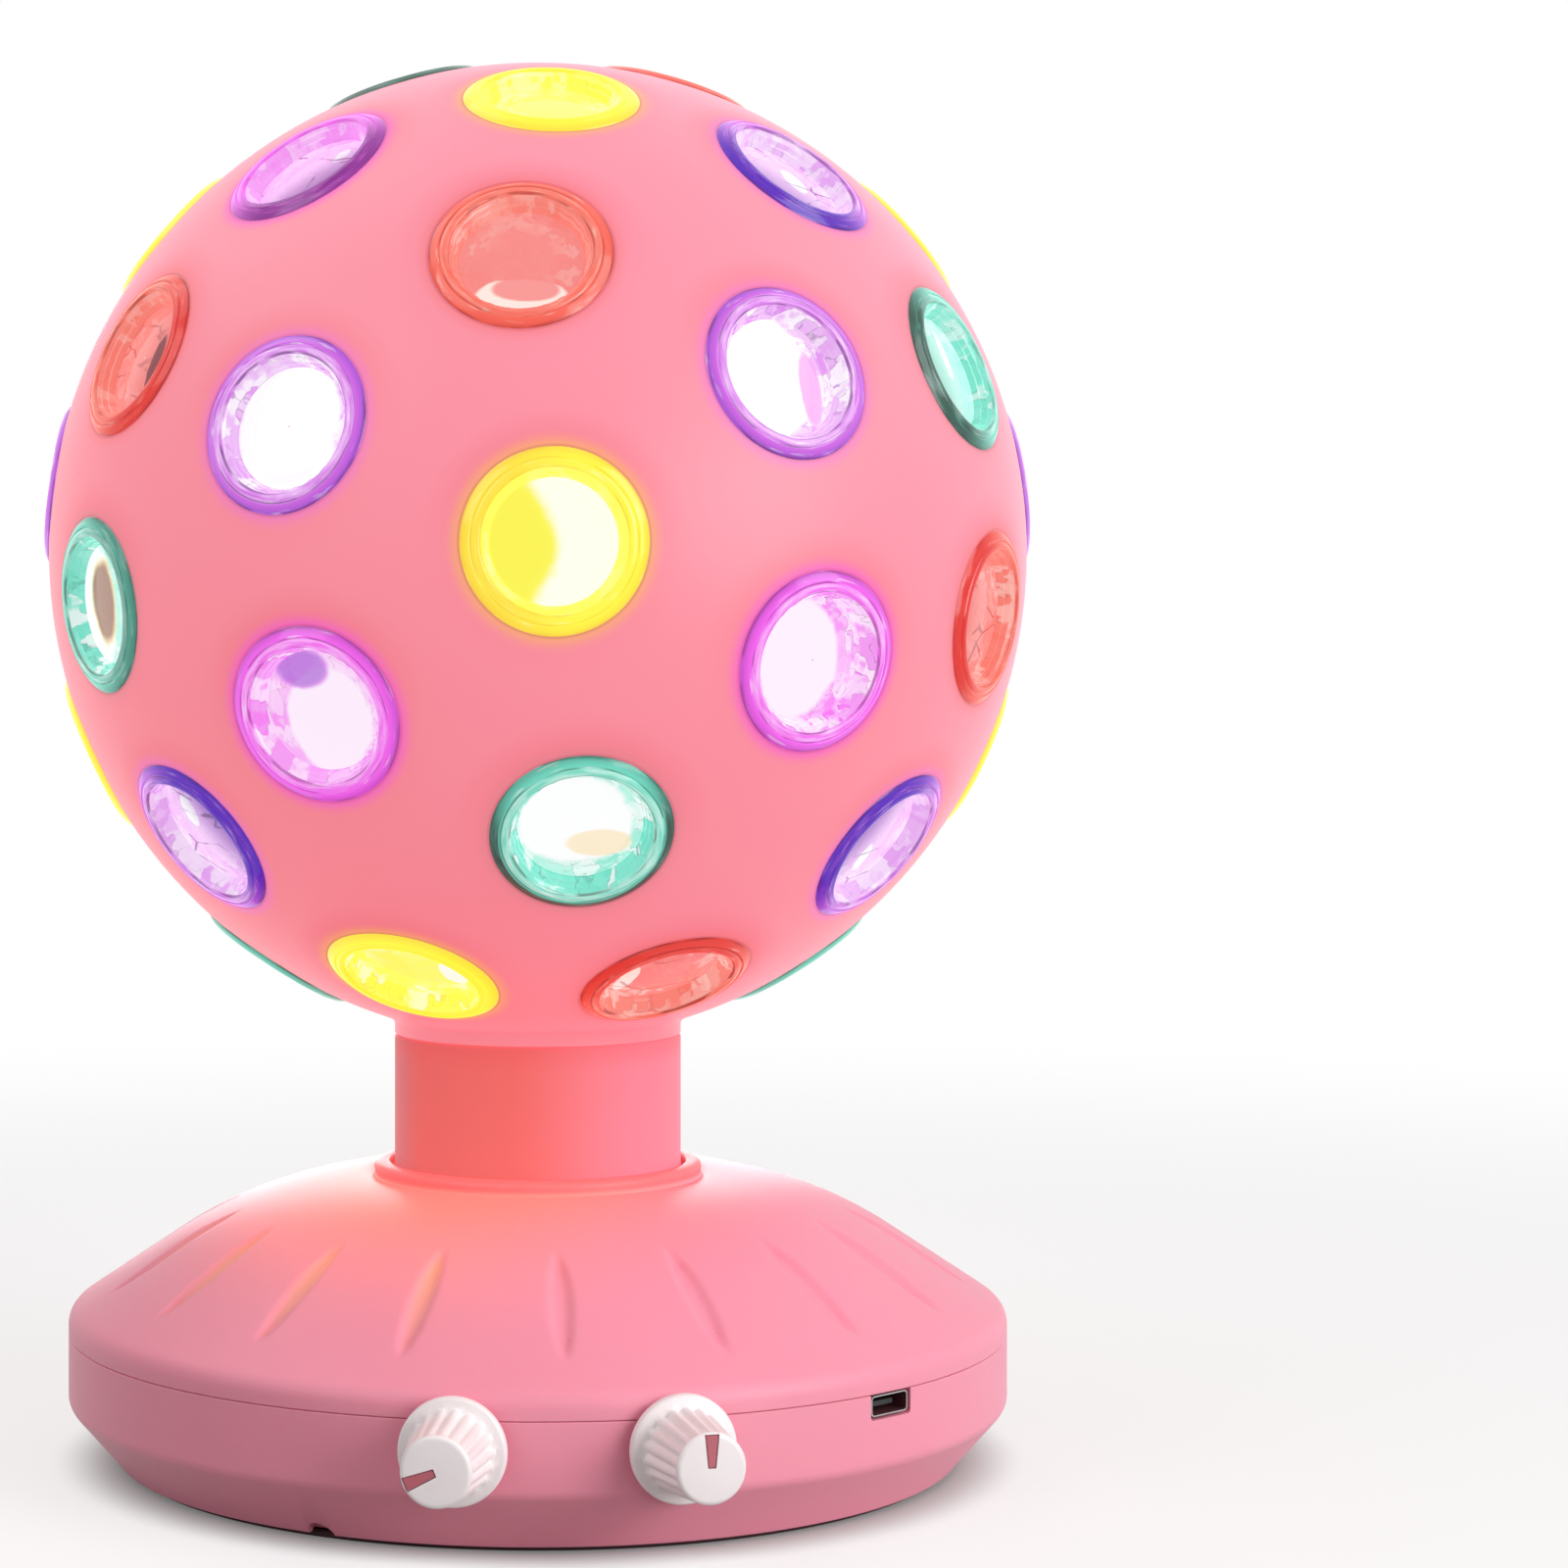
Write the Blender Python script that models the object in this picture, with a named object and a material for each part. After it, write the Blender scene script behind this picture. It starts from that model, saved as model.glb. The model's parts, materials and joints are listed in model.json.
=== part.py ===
"""Disco ball table light: a lensed ball that turns on a dome base with two knobs.

Metres, +Z up. The origin is the middle of the rest face, -Y is the front of the base.
"""
import math

import bmesh
import bpy
from mathutils import Matrix, Vector

MM = 0.001
QUARTER_TURN = math.radians(90.0)
FRONT = math.radians(270.0)
REAR = math.radians(90.0)
SHARP_ANGLE = math.radians(35.0)

# Fits
GAP = 0.3 * MM
INLAY_GAP = 0.15 * MM
SHAFT_GAP = 0.15 * MM
OVERRUN = 2.0 * MM

# Ball
BALL_RADIUS = 75.0 * MM
BALL_WALL = 2.0 * MM
BALL_TURN = math.radians(-1.5)
BALL_SEGMENTS = 30
BALL_ARC_STEPS = 10
COLLAR_LENGTH = 2.4 * MM
RING_ANGLES = (math.radians(32.8), math.radians(61.6), math.radians(90.0))
INNER_RING_START = math.radians(96.0)
INNER_RING_COUNT = 6
OUTER_RING_COUNT = 11
OUTER_RING_START = math.radians(89.2)
SEAM_RING_START = math.radians(270.0)

# Lens
LENS_RADIUS = 12.3 * MM
LENS_BODY_RADIUS = 10.0 * MM
LENS_FACE_RADIUS = 8.9 * MM
LENS_CREST_RADIUS = 10.6 * MM
LENS_PROUD = 1.5 * MM
LENS_FACE_DEPTH = 2.6 * MM
LENS_BACK_DEPTH = 1.3 * MM
LENS_CROWN = 0.6 * MM
LENS_SIDES = 10
RUNNER_RADIUS = 1.6 * MM
RUNNER_SIDES = 6
RUNNER_TRIM_SHARE = 0.45

# Neck
NECK_RADIUS = 22.1 * MM
NECK_WALL = 2.1 * MM
NECK_LENGTH = 19.5 * MM
SPIGOT_WALL = 1.6 * MM
SPIGOT_FLANGE_WIDTH = 3.0 * MM
SPIGOT_FLANGE_HEIGHT = 1.6 * MM
NECK_SEGMENTS = 32
COLLAR_RUNNING_GAP = 0.65 * MM

# Base casing
FOOT_PAD_THICKNESS = 1.0 * MM
FOOT_PAD_INSET = 1.6 * MM
BASE_RADIUS = 72.0 * MM
BASE_WALL = 2.0 * MM
BEVEL_WIDTH = 7.2 * MM
BEVEL_HEIGHT = 8.1 * MM
LOWER_BAND_HEIGHT = 10.2 * MM
UPPER_BAND_HEIGHT = 3.15 * MM
DOME_RISE = 20.2 * MM
LIP_WIDTH = 3.4 * MM
LIP_HEIGHT = 2.0 * MM
LIP_ROUND = 0.7 * MM
RIM_ROUND = 1.8 * MM
CROWN_KNEE_RADIUS_SHARE = 0.358
CROWN_KNEE_DROP_SHARE = 0.04
CROWN_END_SHARE = 0.457
CROWN_STEPS = 4
BASE_SEGMENTS = 36

# Flutes in the dome
FLUTE_COUNT = 18
FLUTE_START_SHARE = 0.445
FLUTE_END_SHARE = 0.877
FLUTE_WIDTH = 3.8 * MM
FLUTE_DEPTH = 0.7 * MM
FLUTE_LIFT = 0.8 * MM
FLUTE_SIDES = 6
FLUTE_RINGS = 5

# Case screws
SCREW_EDGE_WIDTH = 3.0 * MM
SCREW_ANGLES = (math.radians(90.0), math.radians(210.0), math.radians(330.0))
SCREW_HEAD_RADIUS = 2.9 * MM
SCREW_HEAD_HEIGHT = 1.9 * MM
SCREW_SHANK_RADIUS = 1.4 * MM
SCREW_LENGTH = 14.0 * MM
SCREW_SEAT_DEPTH = 4.0 * MM
SCREW_SLOT_WIDTH = 0.8 * MM
SCREW_SLOT_DEPTH = 0.9 * MM
POST_WALL = 1.6 * MM
POST_HEIGHT = 5.4 * MM
BOSS_RADIUS = 3.5 * MM
BOLT_SIDES = 12

# Chassis plate and its columns
PLATE_EDGE_WIDTH = 3.5 * MM
PLATE_THICKNESS = 2.0 * MM
WIRE_HOLE_RADIUS = 4.0 * MM
COLUMN_EDGE_WIDTH = 2.6 * MM
COLUMN_ANGLES = (math.radians(30.0), math.radians(150.0), math.radians(270.0))
COLUMN_RADIUS = 3.4 * MM
COLUMN_SIDES = 10

# Drive
GEAR_TEETH = 48
PINION_TEETH = 12
PRESSURE_ANGLE = math.radians(25.0)
ADDENDUM_SHARE = 0.8
DEDENDUM_SHARE = 1.1
BACKLASH = 0.22 * MM
GEAR_WIDTH = 4.0 * MM
GEAR_WEB_WIDTH = 3.2 * MM
GEAR_RIM_WIDTH = 0.79 * MM
HUB_HEIGHT = 3.2 * MM
HUB_WALL = 2.0 * MM
HUB_HEADROOM = 1.5 * MM
WASHER_THICKNESS = 1.2 * MM
WASHER_OUTER_WIDTH = 2.4 * MM
WASHER_INNER_WIDTH = 2.6 * MM
SHAFT_END_LENGTH = 1.6 * MM
MOTOR_RADIUS = 14.0 * MM
MOTOR_HEIGHT = 18.0 * MM
MOTOR_SHAFT_OFFSET = 8.0 * MM
MOTOR_SHAFT_RADIUS = 2.5 * MM
MOTOR_COLLAR_RADIUS = 4.5 * MM
MOTOR_EAR_SPAN = 42.0 * MM
MOTOR_EAR_WIDTH = 7.0 * MM
MOTOR_EAR_THICKNESS = 1.0 * MM
MOTOR_SEGMENTS = 24

# Lamp inside the ball
POST_RADIUS = 5.0 * MM
POST_BORE_RADIUS = 3.2 * MM
POST_FLANGE_RADIUS = 12.0 * MM
POST_FLANGE_HEIGHT = 2.0 * MM
SINK_RADIUS = 11.0 * MM
SINK_HEIGHT = 9.0 * MM
SINK_FIN_DEPTH = 2.2 * MM
SINK_FINS = 12
BOARD_THICKNESS = 1.6 * MM
LED_BOARD_RADIUS = 10.0 * MM
LED_BOARD_DROP = 3.0 * MM
DIFFUSER_RADIUS = 10.0 * MM
DIFFUSER_HEIGHT = 11.0 * MM
DIFFUSER_WALL = 1.2 * MM
SMALL_SEGMENTS = 20
PLATE_SEGMENTS = 24

# Knobs, measured from the base's axis outwards
KNOB_HALF_ANGLE = math.radians(12.25)
KNOB_RISE = 15.8 * MM
KNOB_STAND_OFF = 0.9 * MM
KNOB_SKIRT_RADIUS = 7.5 * MM
KNOB_SKIRT_THICKNESS = 1.6 * MM
KNOB_SKIRT_ROUND = 0.4 * MM
KNOB_LENGTH = 13.3 * MM
KNOB_FOOT_RADIUS = 5.9 * MM
KNOB_CAP_RADIUS = 4.9 * MM
KNOB_CAP_ROUND = 0.4 * MM
KNOB_FLUTE_DEPTH = 0.35 * MM
KNOB_FLUTES = 16
KNOB_BORE_DEPTH = 10.0 * MM
POINTER_INNER_SHARE = 0.06
POINTER_OUTER_SHARE = 0.98
POINTER_INNER_WIDTH = 0.9 * MM
POINTER_OUTER_WIDTH = 1.6 * MM
POINTER_THICKNESS = 0.6 * MM
LEFT_POINTER_CLOCK = math.radians(-113.0)
RIGHT_POINTER_CLOCK = math.radians(0.0)

# Potentiometers
POT_SHAFT_RADIUS = 3.0 * MM
POT_BUSH_WALL = 0.75 * MM
POT_BODY_WIDTH = 9.5 * MM
POT_BODY_HEIGHT = 10.5 * MM
POT_BODY_DEPTH = 5.5 * MM
POT_WALL_GAP = 0.6 * MM
POT_SHAFT_INSET = 3.0 * MM

# Power socket and control board
SOCKET_ANGLE = math.radians(40.4)
SOCKET_WIDTH = 7.6 * MM
SOCKET_HEIGHT = 2.9 * MM
SOCKET_DEPTH = 5.8 * MM
SOCKET_SHELL = 0.35 * MM
SOCKET_CORNER = 0.8 * MM
SOCKET_TOP_DROP = 0.25 * MM
SOCKET_RECESS = 0.4 * MM
SOCKET_OPENING_GAP = 0.4 * MM
TONGUE_WIDTH = 4.2 * MM
TONGUE_THICKNESS = 0.7 * MM
TONGUE_LENGTH = 4.0 * MM
BOARD_LENGTH = 22.0 * MM
BOARD_WIDTH = 22.0 * MM
BOARD_NOSE_WIDTH = 10.0 * MM
BOARD_WALL_GAP = 0.8 * MM
BOARD_POST_RADIUS = 2.0 * MM
BOARD_POST_SHARE = 0.7

# Pry notch in the lower edge
NOTCH_ANGLE = math.radians(-31.0)
NOTCH_RADIUS = 2.2 * MM
NOTCH_SINK_SHARE = 0.35
NOTCH_SIDES = 12

# Worked out heights and radii
FLOOR_BOTTOM = FOOT_PAD_THICKNESS + GAP
FLOOR_TOP = FLOOR_BOTTOM + BASE_WALL
BAND_BOTTOM = FLOOR_BOTTOM + BEVEL_HEIGHT
SEAM_HEIGHT = BAND_BOTTOM + LOWER_BAND_HEIGHT
RIM_HEIGHT = SEAM_HEIGHT + UPPER_BAND_HEIGHT
DOME_TOP = RIM_HEIGHT + DOME_RISE
LIP_TOP = DOME_TOP + LIP_HEIGHT
BORE_RADIUS = NECK_RADIUS + COLLAR_RUNNING_GAP
LIP_RADIUS = BORE_RADIUS + LIP_WIDTH
CEILING = DOME_TOP - BASE_WALL
NECK_TOP = LIP_TOP + NECK_LENGTH
BALL_BOTTOM_AT_NECK = NECK_TOP + COLLAR_LENGTH
BALL_CENTRE = BALL_BOTTOM_AT_NECK + math.sqrt(BALL_RADIUS ** 2 - NECK_RADIUS ** 2)
HUB_TOP = CEILING - HUB_HEADROOM
GEAR_TOP = HUB_TOP - HUB_HEIGHT
GEAR_BOTTOM = GEAR_TOP - GEAR_WIDTH
PLATE_TOP = GEAR_BOTTOM - GAP - WASHER_THICKNESS - GAP
PLATE_BOTTOM = PLATE_TOP - PLATE_THICKNESS
GEAR_ROOT_RADIUS = NECK_RADIUS + GAP + HUB_WALL + GEAR_RIM_WIDTH
GEAR_MODULE = GEAR_ROOT_RADIUS / (GEAR_TEETH / 2 - DEDENDUM_SHARE)
GEAR_PITCH_RADIUS = GEAR_MODULE * GEAR_TEETH / 2
PINION_PITCH_RADIUS = GEAR_MODULE * PINION_TEETH / 2
PINION_DISTANCE = GEAR_PITCH_RADIUS + PINION_PITCH_RADIUS
PLATE_RADIUS = PINION_DISTANCE + MOTOR_COLLAR_RADIUS + PLATE_EDGE_WIDTH
COLUMN_CIRCLE_RADIUS = PLATE_RADIUS - COLUMN_RADIUS - COLUMN_EDGE_WIDTH
WASHER_RADIUS = NECK_RADIUS + WASHER_OUTER_WIDTH
WASHER_BORE_RADIUS = NECK_RADIUS - WASHER_INNER_WIDTH
FOOT_PAD_RADIUS = BASE_RADIUS - BEVEL_WIDTH - FOOT_PAD_INSET
SCREW_WELL_RADIUS = SCREW_HEAD_RADIUS + GAP
SCREW_CIRCLE_RADIUS = FOOT_PAD_RADIUS - SCREW_EDGE_WIDTH - SCREW_WELL_RADIUS
SHELL_INNER_RADIUS = BALL_RADIUS - BALL_WALL
COLLAR_INNER_RADIUS = NECK_RADIUS - BALL_WALL
SPIGOT_RADIUS = COLLAR_INNER_RADIUS - GAP
SPIGOT_BORE = SPIGOT_RADIUS - SPIGOT_WALL
NECK_BORE = NECK_RADIUS - NECK_WALL
SOCKET_TOP = SEAM_HEIGHT - SOCKET_TOP_DROP
SOCKET_BOTTOM = SOCKET_TOP - SOCKET_HEIGHT
CONTROL_BOARD_TOP = SOCKET_BOTTOM - GAP

FINISHES = {
    "pink_shell": ((0.95, 0.36, 0.43), 0.35, 0.0, 1.0),
    "pink_base": ((0.88, 0.34, 0.43), 0.4, 0.0, 1.0),
    "lens_yellow": ((0.95, 0.85, 0.05), 0.1, 0.0, 0.85),
    "lens_red": ((0.9, 0.12, 0.08), 0.1, 0.0, 0.85),
    "lens_violet": ((0.32, 0.12, 0.85), 0.1, 0.0, 0.85),
    "lens_magenta": ((0.8, 0.12, 0.8), 0.1, 0.0, 0.85),
    "lens_green": ((0.1, 0.75, 0.5), 0.1, 0.0, 0.85),
    "rubber": ((0.02, 0.02, 0.02), 0.8, 0.0, 1.0),
    "white_plastic": ((0.85, 0.85, 0.85), 0.4, 0.0, 1.0),
    "pointer_pink": ((0.45, 0.08, 0.12), 0.5, 0.0, 1.0),
    "nylon": ((0.85, 0.82, 0.74), 0.5, 0.0, 1.0),
    "plated_steel": ((0.6, 0.6, 0.6), 0.3, 1.0, 1.0),
    "aluminium": ((0.75, 0.75, 0.76), 0.35, 1.0, 1.0),
    "circuit_board": ((0.02, 0.2, 0.08), 0.5, 0.0, 1.0),
    "black_plastic": ((0.02, 0.02, 0.02), 0.5, 0.0, 1.0),
    "frosted": ((0.95, 0.93, 0.88), 0.5, 0.0, 0.8),
}

# Colours by place, counterclockwise from each ring's start, seen from the front
INNER_COLOURS = ("red", "violet", "magenta", "green", "magenta", "violet")
OUTER_COLOURS = (
    "yellow", "magenta", "red", "green", "violet", "yellow",
    "red", "violet", "red", "green", "violet",
)
SEAM_COLOURS = (
    "green", "yellow", "violet", "yellow", "red",
    "green", "yellow", "violet", "yellow", "green",
)


def clear_scene():
    for item in list(bpy.data.objects):
        bpy.data.objects.remove(item, do_unlink=True)


def material(finish):
    found = bpy.data.materials.get(finish)
    if found:
        return found
    colour, roughness, metallic, alpha = FINISHES[finish]
    made = bpy.data.materials.new(finish)
    made.use_nodes = True
    shader = made.node_tree.nodes["Principled BSDF"]
    shader.inputs["Base Color"].default_value = (*colour, 1.0)
    shader.inputs["Roughness"].default_value = roughness
    shader.inputs["Metallic"].default_value = metallic
    shader.inputs["Alpha"].default_value = alpha
    made.diffuse_color = (*colour, alpha)
    return made


def finished_mesh(name, shape):
    """A mesh from a bmesh, faces out and round sides smooth."""
    bmesh.ops.recalc_face_normals(shape, faces=shape.faces)
    mesh = bpy.data.meshes.new(name)
    shape.to_mesh(mesh)
    shape.free()
    mesh.shade_smooth()
    mesh.set_sharp_from_angle(angle=SHARP_ANGLE)
    return mesh


def place(name, shape, finish, parent=None, at=None):
    """One named piece. shape is a bmesh or a mesh that other pieces share."""
    mesh = shape if isinstance(shape, bpy.types.Mesh) else finished_mesh(name, shape)
    piece = bpy.data.objects.new(name, mesh)
    bpy.context.collection.objects.link(piece)
    if not mesh.materials:
        mesh.materials.append(material(finish))
    piece.parent = parent
    if at is not None:
        piece.matrix_local = at
    return piece


def guide(name, shape, parent=None, at=None):
    """A cutter or an added part of a Boolean, which is not a piece of the model."""
    mesh = finished_mesh(name, shape)
    piece = bpy.data.objects.new(name, mesh)
    bpy.context.collection.objects.link(piece)
    piece.parent = parent
    if at is not None:
        piece.matrix_local = at
    piece.hide_render = True
    piece.display_type = "WIRE"
    return piece


def empty(name, parent=None, at=None):
    frame = bpy.data.objects.new(name, None)
    bpy.context.collection.objects.link(frame)
    frame.parent = parent
    if at is not None:
        frame.matrix_local = at
    return frame


def boolean(piece, other, operation):
    modifier = piece.modifiers.new(operation.title(), "BOOLEAN")
    modifier.operation = operation
    modifier.solver = "EXACT"
    modifier.object = other


def cut(piece, other):
    boolean(piece, other, "DIFFERENCE")


def join(piece, other):
    boolean(piece, other, "UNION")


def rings_to_shape(shape, rings, closed):
    """Skins rings of points. A ring of one point is a pole."""
    made = [[shape.verts.new(point) for point in ring] for ring in rings]
    pairs = list(zip(made, made[1:]))
    if closed:
        pairs.append((made[-1], made[0]))
    for low, high in pairs:
        count = max(len(low), len(high))
        for i in range(count):
            j = (i + 1) % count
            corners = []
            for ring, order in ((low, (i, j)), (high, (j, i))):
                for k in order:
                    vertex = ring[k % len(ring)]
                    if vertex not in corners:
                        corners.append(vertex)
            shape.faces.new(corners)


def ring(radius, height, segments, matrix, phase=0.0):
    if radius == 0:
        return [matrix @ Vector((0, 0, height))]
    step = math.tau / segments
    angles = [phase + i * step for i in range(segments)]
    return [
        matrix @ Vector((radius * math.cos(a), radius * math.sin(a), height))
        for a in angles
    ]


def add_turned(shape, profile, segments, matrix=Matrix(), closed=None):
    """Turns (radius, height) points about Z. Profiles that miss the axis close on themselves."""
    if closed is None:
        closed = profile[0][0] > 0 and profile[-1][0] > 0
    rings = [ring(r, z, segments, matrix) for r, z in profile]
    rings_to_shape(shape, rings, closed)


def turned(profile, segments, matrix=Matrix()):
    shape = bmesh.new()
    add_turned(shape, profile, segments, matrix)
    return shape


def disc(radius, low, high):
    """Profile of a solid round disc or bar."""
    return ((0, low), (radius, low), (radius, high), (0, high))


def add_rod(shape, radius, start, end, sides):
    """A round bar between two points."""
    run = Vector(end) - Vector(start)
    turn = run.to_track_quat("Z", "X").to_matrix().to_4x4()
    matrix = Matrix.Translation(start) @ turn
    add_turned(shape, disc(radius, 0, run.length), sides, matrix)


def add_box(shape, low, high, matrix=Matrix()):
    low = Vector(low)
    high = Vector(high)
    middle = Matrix.Translation((low + high) / 2)
    size = Matrix.Diagonal((*(high - low), 1.0))
    bmesh.ops.create_cube(shape, size=1.0, matrix=matrix @ middle @ size)


def add_prism(shape, outline, low, high, matrix=Matrix()):
    """An outline of (x, y) points pulled along Z."""
    bottom = [shape.verts.new(matrix @ Vector((x, y, low))) for x, y in outline]
    top = [shape.verts.new(matrix @ Vector((x, y, high))) for x, y in outline]
    shape.faces.new(list(reversed(bottom)))
    shape.faces.new(top)
    for i in range(len(outline)):
        j = (i + 1) % len(outline)
        shape.faces.new((bottom[i], bottom[j], top[j], top[i]))


def polar(radius, angle, height=0.0):
    return Vector((radius * math.cos(angle), radius * math.sin(angle), height))


# Ball


def lens_direction(theta, phi, side):
    """Unit direction of a lens: theta from the ball's horizontal pole, side -1 front, 1 rear."""
    return Vector(
        (
            math.sin(theta) * math.cos(phi),
            side * math.cos(theta),
            math.sin(theta) * math.sin(phi),
        )
    )


def half_places(side):
    """Names, directions and colours of the lenses that lie in one half."""
    inner, outer, _ = RING_ANGLES
    places = [("centre", lens_direction(0, 0, side), "yellow")]
    for i in range(INNER_RING_COUNT):
        phi = INNER_RING_START + i * math.tau / INNER_RING_COUNT
        colour = INNER_COLOURS[i % len(INNER_COLOURS)]
        places.append((f"inner_{i + 1}", lens_direction(inner, phi, side), colour))
    for i in range(OUTER_RING_COUNT):
        phi = OUTER_RING_START + i * math.tau / OUTER_RING_COUNT
        colour = OUTER_COLOURS[i % len(OUTER_COLOURS)]
        places.append((f"outer_{i + 1}", lens_direction(outer, phi, side), colour))
    return places


def seam_places():
    """Lenses on the joint of the halves. The neck takes the place at the bottom."""
    seam = RING_ANGLES[2]
    places = []
    for i in range(1, OUTER_RING_COUNT):
        phi = SEAM_RING_START + i * math.tau / OUTER_RING_COUNT
        colour = SEAM_COLOURS[(i - 1) % len(SEAM_COLOURS)]
        places.append((f"{i}", lens_direction(seam, phi, -1), colour))
    return places


def facing(direction):
    return direction.to_track_quat("Z", "X").to_matrix().to_4x4()


def lens_profile():
    """Lens, cup and flange, from the face's middle round to the back's middle."""
    flange_foot = math.sqrt(BALL_RADIUS ** 2 - LENS_RADIUS ** 2) + GAP
    seat = math.sqrt(BALL_RADIUS ** 2 - LENS_BODY_RADIUS ** 2) + GAP
    face = BALL_RADIUS + LENS_PROUD - LENS_FACE_DEPTH
    back = SHELL_INNER_RADIUS - LENS_BACK_DEPTH
    return (
        (0, face + LENS_CROWN),
        (LENS_FACE_RADIUS, face),
        (LENS_CREST_RADIUS, BALL_RADIUS + LENS_PROUD),
        (LENS_RADIUS, flange_foot),
        (LENS_BODY_RADIUS, seat),
        (LENS_BODY_RADIUS, back),
        (0, back - LENS_CROWN),
    )


def add_lens(shape, direction):
    add_turned(shape, lens_profile(), LENS_SIDES, facing(direction))


def make_lenses(ball):
    meshes = {}
    groups = (("lens_front", half_places(-1)), ("lens_seam", seam_places()))
    for prefix, places in groups:
        for name, direction, colour in places:
            finish = f"lens_{colour}"
            if colour not in meshes:
                meshes[colour] = finished_mesh(
                    finish, turned(lens_profile(), LENS_SIDES)
                )
            place(f"{prefix}_{name}", meshes[colour], finish, ball, facing(direction))


def rear_cluster(name, places, links, ball):
    """Rear lenses held on runners that lie inside the shell."""
    lenses = bmesh.new()
    for _, direction, _ in places:
        add_lens(lenses, direction)
    runners = bmesh.new()
    depth = SHELL_INNER_RADIUS - LENS_BACK_DEPTH
    for first, second in links:
        start = places[first][1] * depth
        end = places[second][1] * depth
        trim = (end - start).normalized() * LENS_BODY_RADIUS * RUNNER_TRIM_SHARE
        add_rod(runners, RUNNER_RADIUS, start + trim, end - trim, RUNNER_SIDES)
    cluster = place(name, lenses, "lens_violet", ball)
    join(cluster, guide(f"{name}_runners", runners, ball))
    return cluster


def make_rear_clusters(ball):
    places = half_places(1)
    inner = places[: 1 + INNER_RING_COUNT]
    spokes = [(0, 1 + i) for i in range(INNER_RING_COUNT)]
    rear_cluster("rear_lens_cluster_inner", inner, spokes, ball)
    outer = places[1 + INNER_RING_COUNT:]
    chain = [(i, (i + 1) % OUTER_RING_COUNT) for i in range(OUTER_RING_COUNT)]
    rear_cluster("rear_lens_cluster_outer", outer, chain, ball)


def ball_arc(radius, edge_radius):
    """Points from the top of a sphere down to where it meets a tube of edge_radius."""
    last = math.pi - math.asin(edge_radius / radius)
    points = []
    for i in range(BALL_ARC_STEPS + 1):
        angle = last * i / BALL_ARC_STEPS
        points.append((radius * math.sin(angle), radius * math.cos(angle)))
    points[0] = (0, radius)
    return points


def whole_shell():
    """The hollow ball with its collar, before it is holed and halved."""
    collar_end = NECK_TOP + GAP / 2 - BALL_CENTRE
    outer = ball_arc(BALL_RADIUS, NECK_RADIUS)
    inner = ball_arc(SHELL_INNER_RADIUS, COLLAR_INNER_RADIUS)
    ends = [(NECK_RADIUS, collar_end), (COLLAR_INNER_RADIUS, collar_end)]
    profile = outer + ends + list(reversed(inner))
    return turned(profile, BALL_SEGMENTS)


def lens_holes(places):
    """Holes through the shell, turned like the lenses that fill them."""
    shape = bmesh.new()
    low = SHELL_INNER_RADIUS - LENS_BACK_DEPTH - OVERRUN
    high = BALL_RADIUS + OVERRUN
    hole = disc(LENS_BODY_RADIUS + GAP, low, high)
    for _, direction, _ in places:
        add_turned(shape, hole, LENS_SIDES, facing(direction))
    return shape


def make_ball(ball):
    reach = BALL_RADIUS + OVERRUN
    for name, side in (("ball_front_shell", -1), ("ball_rear_shell", 1)):
        shell = place(name, whole_shell(), "pink_shell", ball)
        holes = lens_holes(half_places(side) + seam_places())
        other_half = bmesh.new()
        edge = side * GAP / 2
        far = -side * reach
        low = (-reach, min(edge, far), -reach)
        high = (reach, max(edge, far), reach)
        add_box(other_half, low, high)
        cut(shell, guide(f"{name}_other_half", other_half, ball))
        cut(shell, guide(f"{name}_holes", holes, ball))


def make_neck(spin):
    """Neck tube: spigot and flange inside the ball, running fit in the base."""
    bottom = GEAR_TOP + GAP - BALL_CENTRE
    top = NECK_TOP - GAP / 2 - BALL_CENTRE
    flange_radius = SPIGOT_RADIUS + SPIGOT_FLANGE_WIDTH
    flange_foot = GAP * 2 - math.sqrt(SHELL_INNER_RADIUS ** 2 - flange_radius ** 2)
    flange_top = flange_foot + SPIGOT_FLANGE_HEIGHT
    profile = (
        (flange_radius, flange_top),
        (flange_radius, flange_foot),
        (SPIGOT_RADIUS, flange_foot),
        (SPIGOT_RADIUS, top),
        (NECK_RADIUS, top),
        (NECK_RADIUS, bottom),
        (NECK_BORE, bottom),
        (NECK_BORE, top - NECK_WALL),
        (SPIGOT_BORE, top - NECK_WALL),
        (SPIGOT_BORE, flange_top),
    )
    place("neck_tube", turned(profile, NECK_SEGMENTS), "pink_shell", spin)


# Drive


def involute(angle):
    return math.tan(angle) - angle


def gear_outline(teeth, flank_points, first_tooth):
    """Involute teeth with backlash. first_tooth is the direction of a tooth's middle."""
    pitch = GEAR_MODULE * teeth / 2
    base = pitch * math.cos(PRESSURE_ANGLE)
    root = pitch - DEDENDUM_SHARE * GEAR_MODULE
    tip = pitch + ADDENDUM_SHARE * GEAR_MODULE
    half_tooth = math.pi / (2 * teeth) - BACKLASH / (4 * pitch)
    halves = []
    for i in range(flank_points):
        radius = root + (tip - root) * i / (flank_points - 1)
        grown = max(radius, base)
        turn = half_tooth + involute(PRESSURE_ANGLE)
        halves.append((radius, turn - involute(math.acos(base / grown))))
    outline = []
    for tooth in range(teeth):
        middle = first_tooth + tooth * math.tau / teeth
        for radius, half in halves:
            outline.append(polar(radius, middle - half))
        for radius, half in reversed(halves):
            outline.append(polar(radius, middle + half))
    return [(point.x, point.y) for point in outline]


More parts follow.
